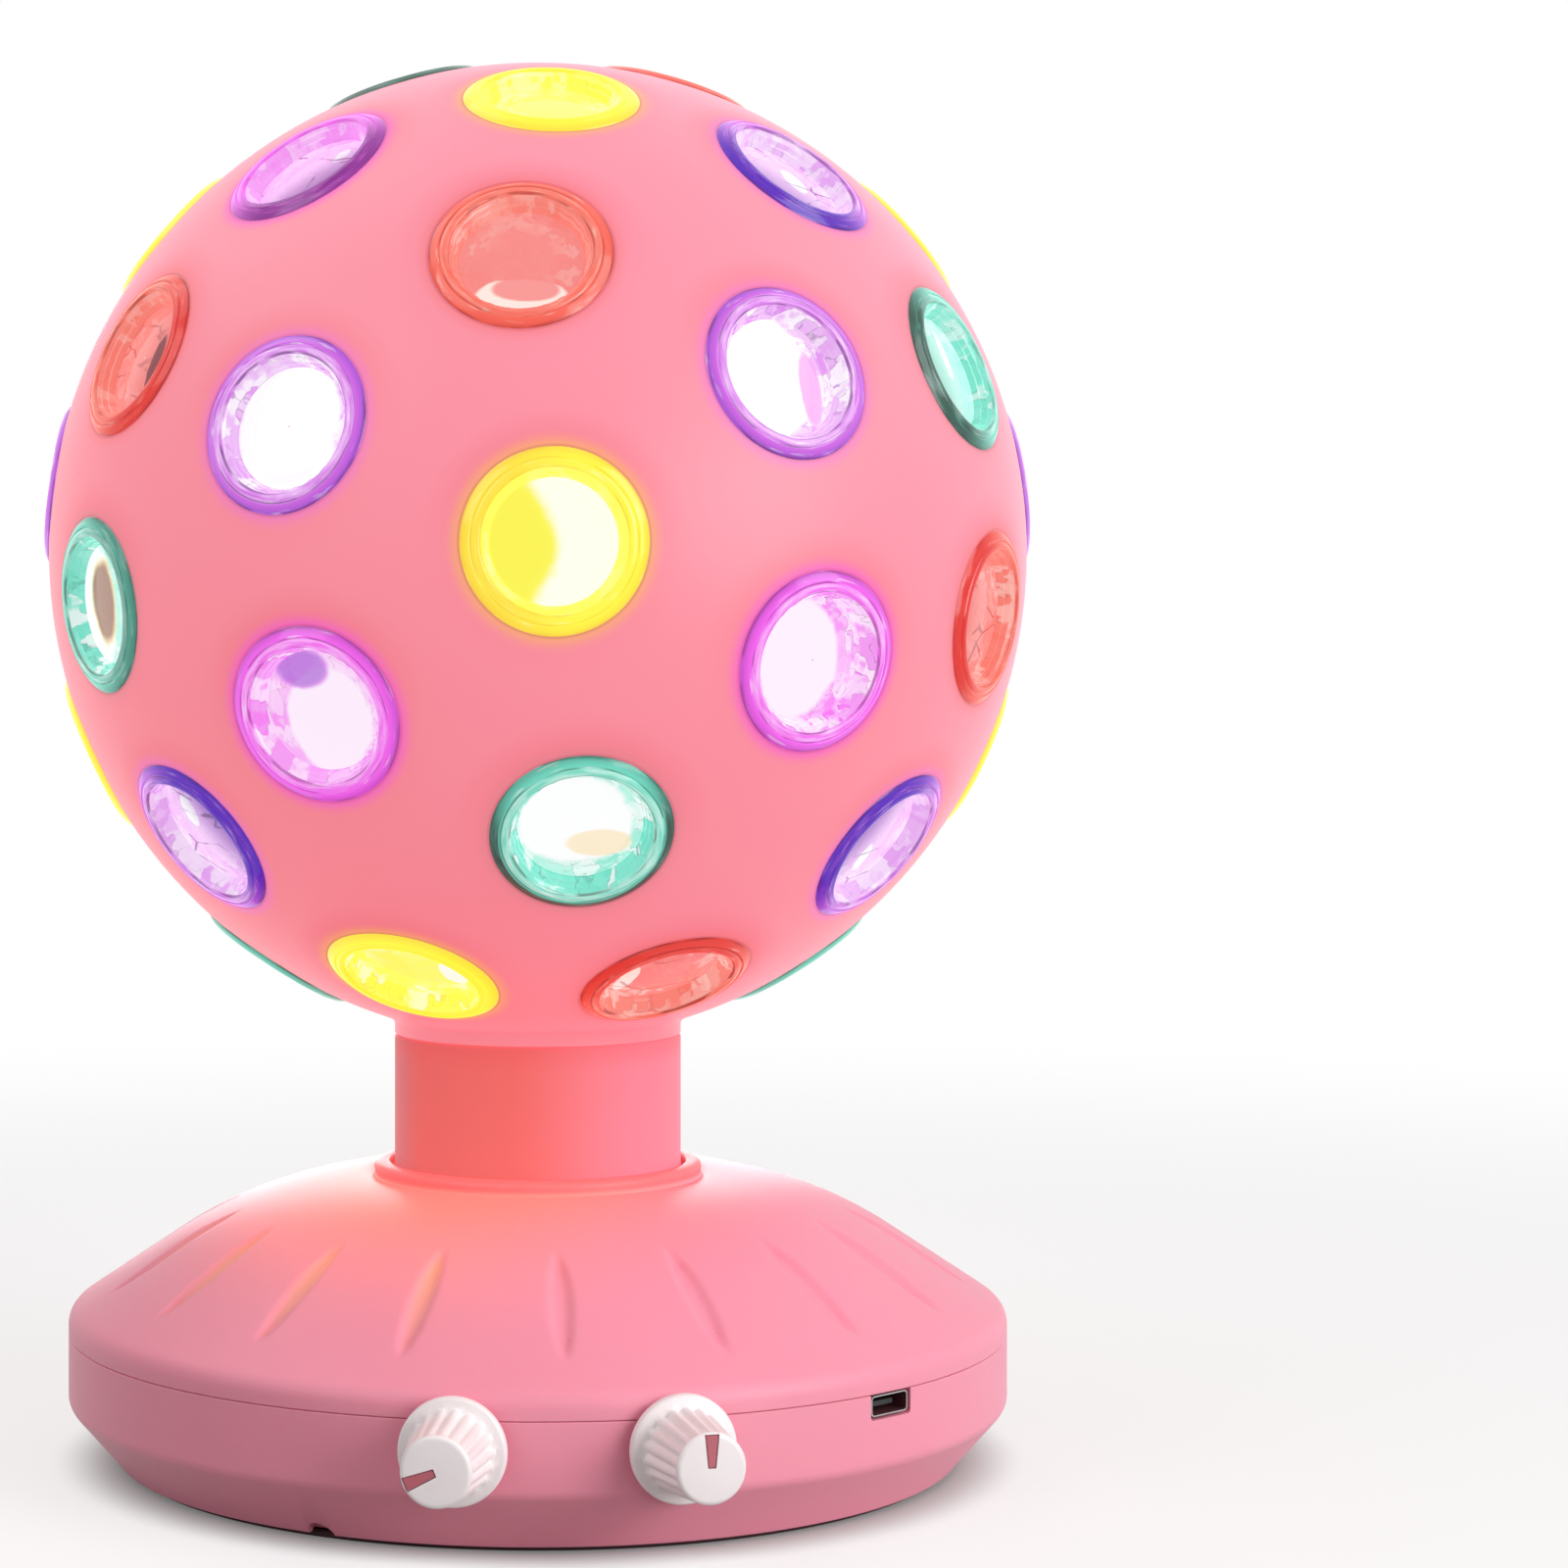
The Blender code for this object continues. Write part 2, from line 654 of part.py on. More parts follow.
def make_drive_gear(spin):
    """Gear ring with a web under the neck and a hub round it."""
    lift = Matrix.Translation((0, 0, -BALL_CENTRE))
    teeth = bmesh.new()
    outline = gear_outline(GEAR_TEETH, 2, REAR)
    add_prism(teeth, outline, GEAR_BOTTOM, GEAR_TOP, lift)
    gear = place("drive_gear", teeth, "nylon", spin)
    hub_bore = NECK_RADIUS + GAP
    hub_foot = GEAR_BOTTOM + GEAR_WIDTH / 2
    hub = turned(disc(hub_bore + HUB_WALL, hub_foot, HUB_TOP), NECK_SEGMENTS, lift)
    join(gear, guide("drive_gear_hub", hub, spin))
    web_bore = NECK_RADIUS - GEAR_WEB_WIDTH
    profile = (
        (0, HUB_TOP + OVERRUN),
        (hub_bore, HUB_TOP + OVERRUN),
        (hub_bore, GEAR_TOP),
        (web_bore, GEAR_TOP),
        (web_bore, GEAR_BOTTOM - OVERRUN),
        (0, GEAR_BOTTOM - OVERRUN),
    )
    cut(gear, guide("drive_gear_bore", turned(profile, NECK_SEGMENTS, lift), spin))


def make_pinion():
    """Motor pinion and output shaft, on an axis behind the neck."""
    axis = empty("motor_pinion_axis", at=Matrix.Translation((0, PINION_DISTANCE, 0)))
    first_tooth = FRONT + math.pi / PINION_TEETH
    shape = bmesh.new()
    outline = gear_outline(PINION_TEETH, 3, first_tooth)
    add_prism(shape, outline, GEAR_BOTTOM, GEAR_TOP)
    pinion = place("motor_pinion", shape, "nylon", axis)
    bore = disc(MOTOR_SHAFT_RADIUS + SHAFT_GAP, GEAR_BOTTOM - OVERRUN, GEAR_TOP + OVERRUN)
    cut(pinion, guide("motor_pinion_bore", turned(bore, SMALL_SEGMENTS), axis))
    shaft = disc(MOTOR_SHAFT_RADIUS, PLATE_BOTTOM, GEAR_TOP + SHAFT_END_LENGTH)
    place("motor_shaft", turned(shaft, SMALL_SEGMENTS), "plated_steel", axis)


def make_motor():
    top = PLATE_BOTTOM - GAP
    centre = Matrix.Translation((0, PINION_DISTANCE - MOTOR_SHAFT_OFFSET, 0))
    can = turned(disc(MOTOR_RADIUS, top - MOTOR_HEIGHT, top), MOTOR_SEGMENTS, centre)
    motor = place("gear_motor", can, "plated_steel")
    ears = bmesh.new()
    half_span = MOTOR_EAR_SPAN / 2
    half_width = MOTOR_EAR_WIDTH / 2
    ear_top = top - MOTOR_EAR_THICKNESS
    low = (-half_span, -half_width, ear_top - MOTOR_EAR_THICKNESS)
    add_box(ears, low, (half_span, half_width, ear_top), centre)
    join(motor, guide("gear_motor_ears", ears))


def make_chassis():
    profile = (
        (WIRE_HOLE_RADIUS, PLATE_TOP),
        (PLATE_RADIUS, PLATE_TOP),
        (PLATE_RADIUS, PLATE_BOTTOM),
        (WIRE_HOLE_RADIUS, PLATE_BOTTOM),
    )
    plate = place("chassis_plate", turned(profile, PLATE_SEGMENTS), "nylon")
    hole = bmesh.new()
    low = (0, PINION_DISTANCE, PLATE_BOTTOM - OVERRUN)
    high = (0, PINION_DISTANCE, PLATE_TOP + OVERRUN)
    add_rod(hole, MOTOR_COLLAR_RADIUS, low, high, SMALL_SEGMENTS)
    cut(plate, guide("chassis_plate_shaft_hole", hole))
    low = PLATE_TOP + GAP
    high = low + WASHER_THICKNESS
    profile = (
        (WASHER_BORE_RADIUS, high),
        (WASHER_RADIUS, high),
        (WASHER_RADIUS, low),
        (WASHER_BORE_RADIUS, low),
    )
    place("thrust_washer", turned(profile, PLATE_SEGMENTS), "nylon")


# Lamp


def make_lamp():
    foot = PLATE_TOP + GAP
    board_top = BALL_CENTRE - LED_BOARD_DROP
    board_bottom = board_top - BOARD_THICKNESS
    sink_top = board_bottom - GAP
    sink_bottom = sink_top - SINK_HEIGHT
    profile = (
        (POST_BORE_RADIUS, sink_bottom - GAP),
        (POST_RADIUS, sink_bottom - GAP),
        (POST_RADIUS, foot + POST_FLANGE_HEIGHT),
        (POST_FLANGE_RADIUS, foot + POST_FLANGE_HEIGHT),
        (POST_FLANGE_RADIUS, foot),
        (POST_BORE_RADIUS, foot),
    )
    place("lamp_post", turned(profile, SMALL_SEGMENTS), "aluminium")
    outline = []
    for i in range(SINK_FINS):
        start = i * math.tau / SINK_FINS
        quarter = math.tau / SINK_FINS / 4
        for radius, turn in (
            (SINK_RADIUS, 0),
            (SINK_RADIUS, quarter),
            (SINK_RADIUS - SINK_FIN_DEPTH, 2 * quarter),
            (SINK_RADIUS - SINK_FIN_DEPTH, 3 * quarter),
        ):
            point = polar(radius, start + turn)
            outline.append((point.x, point.y))
    fins = bmesh.new()
    add_prism(fins, outline, sink_bottom, sink_top)
    place("heat_sink", fins, "aluminium")
    board = disc(LED_BOARD_RADIUS, board_bottom, board_top)
    place("led_board", turned(board, SMALL_SEGMENTS), "circuit_board")
    dome_foot = board_top + GAP
    place("led_diffuser", turned(diffuser_profile(dome_foot), SMALL_SEGMENTS), "frosted")


def diffuser_profile(foot):
    """A dome that is open below: outer arc down, inner arc up."""
    outer = []
    inner = []
    steps = 4
    for i in range(steps + 1):
        angle = QUARTER_TURN * i / steps
        rise = math.cos(angle)
        outer.append((DIFFUSER_RADIUS * math.sin(angle), foot + DIFFUSER_HEIGHT * rise))
        inner.append((
            (DIFFUSER_RADIUS - DIFFUSER_WALL) * math.sin(angle),
            foot + (DIFFUSER_HEIGHT - DIFFUSER_WALL) * rise,
        ))
    outer[0] = (0, foot + DIFFUSER_HEIGHT)
    inner[0] = (0, foot + DIFFUSER_HEIGHT - DIFFUSER_WALL)
    return outer + list(reversed(inner))


# Base casing


def lerp(first, second, share):
    return (
        first[0] + (second[0] - first[0]) * share,
        first[1] + (second[1] - first[1]) * share,
    )


def bend(first, knee, last, steps):
    """A smooth bend between two points, leaving and arriving towards the knee."""
    points = []
    for i in range(steps + 1):
        share = i / steps
        points.append(lerp(lerp(first, knee, share), lerp(knee, last, share), share))
    return points


def dome_line():
    """The dome's outer line, from the lip's foot over the crown and cone to the skirt."""
    lip_foot = (LIP_RADIUS, DOME_TOP)
    corner = (BASE_RADIUS, RIM_HEIGHT)
    knee = (
        LIP_RADIUS + (BASE_RADIUS - LIP_RADIUS) * CROWN_KNEE_RADIUS_SHARE,
        DOME_TOP - DOME_RISE * CROWN_KNEE_DROP_SHARE,
    )
    crown_end = lerp(knee, corner, CROWN_END_SHARE)
    cone_length = math.dist(crown_end, corner)
    rim_start = lerp(corner, crown_end, RIM_ROUND / cone_length)
    crown = bend(lip_foot, knee, crown_end, CROWN_STEPS)
    rim = bend(rim_start, corner, (BASE_RADIUS, RIM_HEIGHT - RIM_ROUND), 2)
    return crown + rim


def height_on(line, radius):
    """The height of a falling line at a radius."""
    for first, second in zip(line, line[1:]):
        if first[0] <= radius <= second[0] and second[0] > first[0]:
            share = (radius - first[0]) / (second[0] - first[0])
            return lerp(first, second, share)[1]
    return line[-1][1]


def inner_line(line, wall):
    """The line moved inwards by a wall, square to its own run."""
    moved = []
    for i, (radius, height) in enumerate(line):
        before = line[max(i - 1, 0)]
        after = line[min(i + 1, len(line) - 1)]
        run = Vector((after[0] - before[0], after[1] - before[1])).normalized()
        moved.append((radius + run.y * wall, height - run.x * wall))
    moved[0] = (moved[0][0], line[0][1] - wall)
    moved[-1] = (line[-1][0] - wall, line[-1][1])
    return moved


def flutes():
    """Leaf shaped cutters, laid on the dome between two of its radii."""
    line = dome_line()
    width = BASE_RADIUS - LIP_RADIUS
    ends = []
    for share in (FLUTE_START_SHARE, FLUTE_END_SHARE):
        radius = LIP_RADIUS + width * share
        ends.append(Vector((radius, 0, height_on(line, radius))))
    middle_radius = (ends[0].x + ends[1].x) / 2
    run = ends[1] - ends[0]
    tilt = Matrix.Rotation(math.atan2(-run.z, run.x), 4, "Y")
    depth = FLUTE_DEPTH + FLUTE_LIFT
    spread = math.sqrt(1 - (FLUTE_LIFT / depth) ** 2)
    size = Matrix.Diagonal((run.length / 2 / spread, FLUTE_WIDTH / 2 / spread, depth, 1.0))
    up = tilt @ Vector((0, 0, FLUTE_LIFT))
    middle = Vector((middle_radius, 0, height_on(line, middle_radius))) + up
    along = Matrix.Rotation(QUARTER_TURN, 4, "Y")
    shape = bmesh.new()
    for i in range(FLUTE_COUNT):
        turn = Matrix.Rotation(FRONT + i * math.tau / FLUTE_COUNT, 4, "Z")
        matrix = turn @ Matrix.Translation(middle) @ tilt @ size @ along
        bmesh.ops.create_uvsphere(
            shape, u_segments=FLUTE_SIDES, v_segments=FLUTE_RINGS, radius=1.0, matrix=matrix
        )
    return shape


def make_top_shell():
    line = dome_line()
    inside = inner_line(line, BASE_WALL)
    seam = SEAM_HEIGHT + GAP / 2
    profile = [
        (BORE_RADIUS, LIP_TOP),
        (LIP_RADIUS - LIP_ROUND, LIP_TOP),
        (LIP_RADIUS, LIP_TOP - LIP_ROUND),
    ]
    profile += line
    profile += [(BASE_RADIUS, seam), (BASE_RADIUS - BASE_WALL, seam)]
    profile += reversed(inside)
    profile.append((BORE_RADIUS, line[0][1] - BASE_WALL))
    shell = place("base_top_shell", turned(profile, BASE_SEGMENTS), "pink_base")
    cut(shell, guide("base_top_shell_flutes", flutes()))
    bosses = bmesh.new()
    foot = FLOOR_TOP + POST_HEIGHT + GAP
    middle_line = inner_line(line, BASE_WALL / 2)
    for angle in SCREW_ANGLES:
        centre = polar(SCREW_CIRCLE_RADIUS, angle)
        low = []
        high = []
        for i in range(BOLT_SIDES):
            point = centre + polar(BOSS_RADIUS, i * math.tau / BOLT_SIDES)
            low.append(Vector((point.x, point.y, foot)))
            roof = height_on(middle_line, point.length)
            high.append(Vector((point.x, point.y, roof)))
        roof_centre = Vector((centre.x, centre.y, height_on(middle_line, centre.length)))
        foot_centre = Vector((centre.x, centre.y, foot))
        rings_to_shape(bosses, [[foot_centre], low, high, [roof_centre]], False)
    join(shell, guide("base_top_shell_bosses", bosses))
    pilots = bmesh.new()
    radius = SCREW_SHANK_RADIUS + GAP
    depth = FLOOR_BOTTOM + SCREW_SEAT_DEPTH + SCREW_LENGTH
    for angle in SCREW_ANGLES:
        low = polar(SCREW_CIRCLE_RADIUS, angle, foot - OVERRUN)
        high = polar(SCREW_CIRCLE_RADIUS, angle, depth)
        add_rod(pilots, radius, low, high, BOLT_SIDES)
    cut(shell, guide("base_top_shell_pilots", pilots))


def front_frame(angle, height):
    """Frame on the base's axis: Z runs outwards at an angle from the front, Y is up."""
    turn = Matrix.Rotation(angle, 4, "Z") @ Matrix.Rotation(QUARTER_TURN, 4, "X")
    return Matrix.Translation((0, 0, height)) @ turn


def socket_outline(width, height, corner):
    """Socket mouth, with its two lower corners cut off."""
    half = width / 2
    return (
        (-half, height / 2),
        (-half, -height / 2 + corner),
        (-half + corner, -height / 2),
        (half - corner, -height / 2),
        (half, -height / 2 + corner),
        (half, height / 2),
    )


def make_bottom_shell():
    seam = SEAM_HEIGHT - GAP / 2
    floor_radius = BASE_RADIUS - BEVEL_WIDTH
    inner_radius = BASE_RADIUS - BASE_WALL
    profile = (
        (0, FLOOR_TOP),
        (floor_radius - BASE_WALL / 2, FLOOR_TOP),
        (inner_radius, BAND_BOTTOM + BASE_WALL / 2),
        (inner_radius, seam),
        (BASE_RADIUS, seam),
        (BASE_RADIUS, BAND_BOTTOM),
        (floor_radius, FLOOR_BOTTOM),
        (0, FLOOR_BOTTOM),
    )
    shell = place("base_bottom_shell", turned(profile, BASE_SEGMENTS), "pink_base")
    supports = bmesh.new()
    root = FLOOR_BOTTOM + BASE_WALL / 2
    for angle in SCREW_ANGLES:
        low = polar(SCREW_CIRCLE_RADIUS, angle, root)
        high = polar(SCREW_CIRCLE_RADIUS, angle, FLOOR_TOP + POST_HEIGHT)
        add_rod(supports, SCREW_WELL_RADIUS + POST_WALL, low, high, BOLT_SIDES)
    for angle in COLUMN_ANGLES:
        low = polar(COLUMN_CIRCLE_RADIUS, angle, root)
        high = polar(COLUMN_CIRCLE_RADIUS, angle, PLATE_BOTTOM - GAP)
        add_rod(supports, COLUMN_RADIUS, low, high, COLUMN_SIDES)
    for side in (-1, 1):
        point = board_post(side)
        low = Vector((point.x, point.y, root))
        high = Vector((point.x, point.y, CONTROL_BOARD_TOP - BOARD_THICKNESS - GAP))
        add_rod(supports, BOARD_POST_RADIUS, low, high, COLUMN_SIDES)
    join(shell, guide("base_bottom_shell_supports", supports))
    openings = bmesh.new()
    seat = FLOOR_BOTTOM + SCREW_SEAT_DEPTH
    hole = SCREW_SHANK_RADIUS + GAP
    stepped = (
        (0, FLOOR_BOTTOM - OVERRUN),
        (SCREW_WELL_RADIUS, FLOOR_BOTTOM - OVERRUN),
        (SCREW_WELL_RADIUS, seat),
        (hole, seat),
        (hole, FLOOR_TOP + POST_HEIGHT + OVERRUN),
        (0, FLOOR_TOP + POST_HEIGHT + OVERRUN),
    )
    for angle in SCREW_ANGLES:
        matrix = Matrix.Translation(polar(SCREW_CIRCLE_RADIUS, angle))
        add_turned(openings, stepped, BOLT_SIDES, matrix)
    inside = inner_radius - OVERRUN
    outside = BASE_RADIUS + OVERRUN
    bush = POT_SHAFT_RADIUS + SHAFT_GAP + POT_BUSH_WALL + GAP
    for side in (-1, 1):
        frame = front_frame(side * KNOB_HALF_ANGLE, KNOB_RISE)
        add_turned(openings, disc(bush, inside, outside), SMALL_SEGMENTS, frame)
    low = SOCKET_BOTTOM - SOCKET_OPENING_GAP
    frame = front_frame(SOCKET_ANGLE, 0)
    half = SOCKET_WIDTH / 2 + SOCKET_OPENING_GAP
    add_box(openings, (-half, low, inside), (half, seam + OVERRUN, outside), frame)
    frame = front_frame(NOTCH_ANGLE, FLOOR_BOTTOM - NOTCH_RADIUS * NOTCH_SINK_SHARE)
    notch = disc(NOTCH_RADIUS, floor_radius - BASE_WALL, outside)
    add_turned(openings, notch, NOTCH_SIDES, frame)
    cut(shell, guide("base_bottom_shell_openings", openings))


def make_foot_pad():
    pad_shape = turned(disc(FOOT_PAD_RADIUS, 0, FOOT_PAD_THICKNESS), BASE_SEGMENTS)
    pad = place("foot_pad", pad_shape, "rubber")
    holes = bmesh.new()
    for angle in SCREW_ANGLES:
        low = polar(SCREW_CIRCLE_RADIUS, angle, -OVERRUN)
        high = polar(SCREW_CIRCLE_RADIUS, angle, FOOT_PAD_THICKNESS + OVERRUN)
        add_rod(holes, SCREW_WELL_RADIUS, low, high, BOLT_SIDES)
    cut(pad, guide("foot_pad_screw_holes", holes))


def make_screws():
    head_top = FLOOR_BOTTOM + SCREW_SEAT_DEPTH - GAP
    head_foot = head_top - SCREW_HEAD_HEIGHT
    profile = (
        (0, head_top + SCREW_LENGTH - GAP),
        (SCREW_SHANK_RADIUS / 2, head_top + SCREW_LENGTH - GAP),
        (SCREW_SHANK_RADIUS, head_top + SCREW_LENGTH - SCREW_SHANK_RADIUS - GAP),
        (SCREW_SHANK_RADIUS, head_top),
        (SCREW_HEAD_RADIUS, head_top),
        (SCREW_HEAD_RADIUS, head_foot),
        (0, head_foot),
    )
    for i, angle in enumerate(SCREW_ANGLES):
        at = Matrix.Translation(polar(SCREW_CIRCLE_RADIUS, angle))
        screw = place(f"case_screw_{i + 1}", turned(profile, BOLT_SIDES), "plated_steel", at=at)
        slots = bmesh.new()
        reach = SCREW_HEAD_RADIUS / 2
        half = SCREW_SLOT_WIDTH / 2
        low = head_foot - OVERRUN
        high = head_foot + SCREW_SLOT_DEPTH
        cross = (
            (-reach, -half), (-half, -half), (-half, -reach), (half, -reach),
            (half, -half), (reach, -half), (reach, half), (half, half),
            (half, reach), (-half, reach), (-half, half), (-reach, half),
        )
        add_prism(slots, cross, low, high)
        cut(screw, guide(f"case_screw_{i + 1}_slots", slots, at=at))


# Controls


def knob_shape():
    """Knob with skirt, fluted body and shaft bore. Z runs out of the base."""
    sides = 2 * KNOB_FLUTES
    bore = POT_SHAFT_RADIUS + SHAFT_GAP
    rows = (
        (0, KNOB_BORE_DEPTH, 0),
        (bore, KNOB_BORE_DEPTH, 0),
        (bore, 0, 0),
        (KNOB_SKIRT_RADIUS, 0, 0),
        (KNOB_SKIRT_RADIUS, KNOB_SKIRT_THICKNESS - KNOB_SKIRT_ROUND, 0),
        (KNOB_SKIRT_RADIUS - KNOB_SKIRT_ROUND, KNOB_SKIRT_THICKNESS, 0),
        (KNOB_FOOT_RADIUS, KNOB_SKIRT_THICKNESS, KNOB_FLUTE_DEPTH),
        (KNOB_CAP_RADIUS, KNOB_LENGTH - KNOB_CAP_ROUND, KNOB_FLUTE_DEPTH),
        (KNOB_CAP_RADIUS - KNOB_CAP_ROUND, KNOB_LENGTH, 0),
        (0, KNOB_LENGTH, 0),
    )
    start = BASE_RADIUS + KNOB_STAND_OFF
    rings = []
    for radius, height, flute in rows:
        points = ring(radius, start + height, sides, Matrix())
        for i in range(1, len(points), 2):
            points[i].x *= 1 - flute / radius
            points[i].y *= 1 - flute / radius
        rings.append(points)
    shape = bmesh.new()
    rings_to_shape(shape, rings, False)
    return shape


def pointer_outline(margin):
    """Pointer stripe along +Y, wider outwards. The margin grows it into its slot."""
    inner = KNOB_CAP_RADIUS * POINTER_INNER_SHARE - margin
    outer = (KNOB_CAP_RADIUS - KNOB_CAP_ROUND) * POINTER_OUTER_SHARE + margin
    narrow = POINTER_INNER_WIDTH / 2 + margin
    wide = POINTER_OUTER_WIDTH / 2 + margin
    return ((-narrow, inner), (narrow, inner), (wide, outer), (-wide, outer))


def make_knob(side_name, side, clock):
    """Knob, pointer and potentiometer of one side. clock is the pointer's turn from the top."""
    rest = front_frame(side * KNOB_HALF_ANGLE, KNOB_RISE)
    axis = empty(f"{side_name}_knob_axis", at=rest)
    turn = Matrix.Rotation(-clock, 4, "Z")
    cap = BASE_RADIUS + KNOB_STAND_OFF + KNOB_LENGTH
    knob = place(f"{side_name}_knob", knob_shape(), "white_plastic", axis, turn)
    slot = bmesh.new()
    floor = cap - POINTER_THICKNESS - INLAY_GAP
    add_prism(slot, pointer_outline(INLAY_GAP), floor, cap + OVERRUN)
    cut(knob, guide(f"{side_name}_knob_slot", slot, axis, turn))
    inlay = bmesh.new()
    add_prism(inlay, pointer_outline(0), floor + INLAY_GAP, cap)
    place(f"{side_name}_knob_pointer", inlay, "pointer_pink", axis, turn)
    body_front = BASE_RADIUS - BASE_WALL - POT_WALL_GAP
    body_back = body_front - POT_BODY_DEPTH
    shaft_start = body_front - POT_SHAFT_INSET
    shaft_end = BASE_RADIUS + KNOB_STAND_OFF + KNOB_BORE_DEPTH - GAP
    shaft = bmesh.new()
    add_rod(shaft, POT_SHAFT_RADIUS, (0, 0, shaft_start), (0, 0, shaft_end), SMALL_SEGMENTS)
    place(f"{side_name}_pot_shaft", shaft, "aluminium", axis, turn)
    body = bmesh.new()
    half_width = POT_BODY_WIDTH / 2
    half_height = POT_BODY_HEIGHT / 2
    add_box(body, (-half_width, -half_height, body_back), (half_width, half_height, body_front))
    pot = place(f"{side_name}_potentiometer", body, "black_plastic", at=rest)
    bore = POT_SHAFT_RADIUS + SHAFT_GAP
    bush = bmesh.new()
    bush_end = BASE_RADIUS + KNOB_STAND_OFF / 2
    bush_start = body_front - POT_SHAFT_INSET / 2
    add_rod(bush, bore + POT_BUSH_WALL, (0, 0, bush_start), (0, 0, bush_end), SMALL_SEGMENTS)
    join(pot, guide(f"{side_name}_potentiometer_bush", bush, at=rest))
    hole = bmesh.new()
    add_rod(hole, bore, (0, 0, shaft_start - GAP), (0, 0, bush_end + OVERRUN), SMALL_SEGMENTS)
    cut(pot, guide(f"{side_name}_potentiometer_bore", hole, at=rest))


def board_post(side):
    """Where a post carries the control board."""
    frame = front_frame(SOCKET_ANGLE, 0)
    edge = BASE_RADIUS - SOCKET_RECESS - SOCKET_DEPTH
    across = side * BOARD_WIDTH / 2 * BOARD_POST_SHARE
    return frame @ Vector((across, 0, edge - BOARD_LENGTH / 2))


def make_electronics():
    frame = front_frame(SOCKET_ANGLE, 0)
    mouth = BASE_RADIUS - SOCKET_RECESS
    back = mouth - SOCKET_DEPTH
    middle = frame @ Matrix.Translation((0, SOCKET_TOP - SOCKET_HEIGHT / 2, 0))
    outer = bmesh.new()
    outline = socket_outline(SOCKET_WIDTH, SOCKET_HEIGHT, SOCKET_CORNER)
    add_prism(outer, outline, back, mouth, middle)
    socket = place("usb_socket", outer, "plated_steel")
    inner = bmesh.new()
    outline = socket_outline(
        SOCKET_WIDTH - 2 * SOCKET_SHELL, SOCKET_HEIGHT - 2 * SOCKET_SHELL, SOCKET_CORNER
    )
    add_prism(inner, outline, back + SOCKET_SHELL, mouth + OVERRUN, middle)
    cut(socket, guide("usb_socket_mouth", inner))
    tongue = bmesh.new()
    half = TONGUE_WIDTH / 2
    start = back + SOCKET_SHELL + INLAY_GAP
    low = (-half, -TONGUE_THICKNESS / 2, start)
    high = (half, TONGUE_THICKNESS / 2, start + TONGUE_LENGTH)
    add_box(tongue, low, high, middle)
    place("usb_contact_tongue", tongue, "black_plastic")
    board_end = back
    nose = BOARD_NOSE_WIDTH / 2
    nose_end = math.sqrt((BASE_RADIUS - BASE_WALL - BOARD_WALL_GAP) ** 2 - nose ** 2)
    wide = BOARD_WIDTH / 2
    outline = (
        (-wide, board_end - BOARD_LENGTH),
        (wide, board_end - BOARD_LENGTH),
        (wide, board_end),
        (nose, board_end),
        (nose, nose_end),
        (-nose, nose_end),
        (-nose, board_end),
        (-wide, board_end),
    )
    flat = Matrix.Rotation(SOCKET_ANGLE, 4, "Z") @ Matrix.Rotation(math.pi, 4, "Z")
    shape = bmesh.new()
    add_prism(shape, outline, CONTROL_BOARD_TOP - BOARD_THICKNESS, CONTROL_BOARD_TOP, flat)
    place("control_board", shape, "circuit_board")


def main():
    clear_scene()
    spin = empty("ball_spin_axis", at=Matrix.Translation((0, 0, BALL_CENTRE)))
    ball = empty("ball_rest_turn", spin, Matrix.Rotation(BALL_TURN, 4, "Z"))
    make_ball(ball)
    make_lenses(ball)
    make_rear_clusters(ball)
    make_neck(spin)
    make_drive_gear(spin)
    make_pinion()
    make_motor()
    make_chassis()
    make_lamp()
    make_top_shell()
    make_bottom_shell()
    make_foot_pad()
    make_screws()
    make_knob("left", -1, LEFT_POINTER_CLOCK)
    make_knob("right", 1, RIGHT_POINTER_CLOCK)
    make_electronics()


main()
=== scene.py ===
"""Looks of the disco ball light: the finish of every piece, set round its frame."""
import json
import math
import random

import bmesh
import bpy
from mathutils import Matrix, Vector


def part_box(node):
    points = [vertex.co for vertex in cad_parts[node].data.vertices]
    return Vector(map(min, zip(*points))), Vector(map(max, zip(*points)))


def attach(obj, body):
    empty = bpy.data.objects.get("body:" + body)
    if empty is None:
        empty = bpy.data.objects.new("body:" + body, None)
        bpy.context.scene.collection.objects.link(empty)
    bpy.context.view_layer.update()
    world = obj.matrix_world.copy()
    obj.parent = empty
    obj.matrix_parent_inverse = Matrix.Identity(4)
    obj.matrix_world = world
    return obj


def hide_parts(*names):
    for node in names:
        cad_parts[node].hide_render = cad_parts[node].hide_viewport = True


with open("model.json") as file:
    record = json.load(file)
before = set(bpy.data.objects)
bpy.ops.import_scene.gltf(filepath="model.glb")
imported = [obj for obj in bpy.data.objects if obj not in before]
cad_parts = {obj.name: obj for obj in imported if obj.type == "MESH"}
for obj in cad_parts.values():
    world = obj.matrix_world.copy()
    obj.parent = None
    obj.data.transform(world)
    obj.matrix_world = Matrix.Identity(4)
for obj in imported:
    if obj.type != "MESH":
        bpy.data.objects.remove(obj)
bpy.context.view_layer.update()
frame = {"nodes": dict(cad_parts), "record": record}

MM = 0.001
QUARTER_TURN = math.radians(90.0)
FRONT = math.radians(270.0)
WHITE = (1.0, 1.0, 1.0, 1.0)
SHARP_ANGLE = 32.0
TINY = 1e-6

# Camera, from the picture's own frame of 1600 pixels
IMAGE_PIXELS = 1600
AXIS_PIXEL = 548.8
HORIZON_PIXEL = 643.2
FOCAL_PIXELS = 3726
SENSOR_WIDTH = 36.0
CAMERA_TURN = math.radians(-3.25)
CAMERA_DISTANCE = 565.0 * MM
CAMERA_HEIGHT = 126.55 * MM

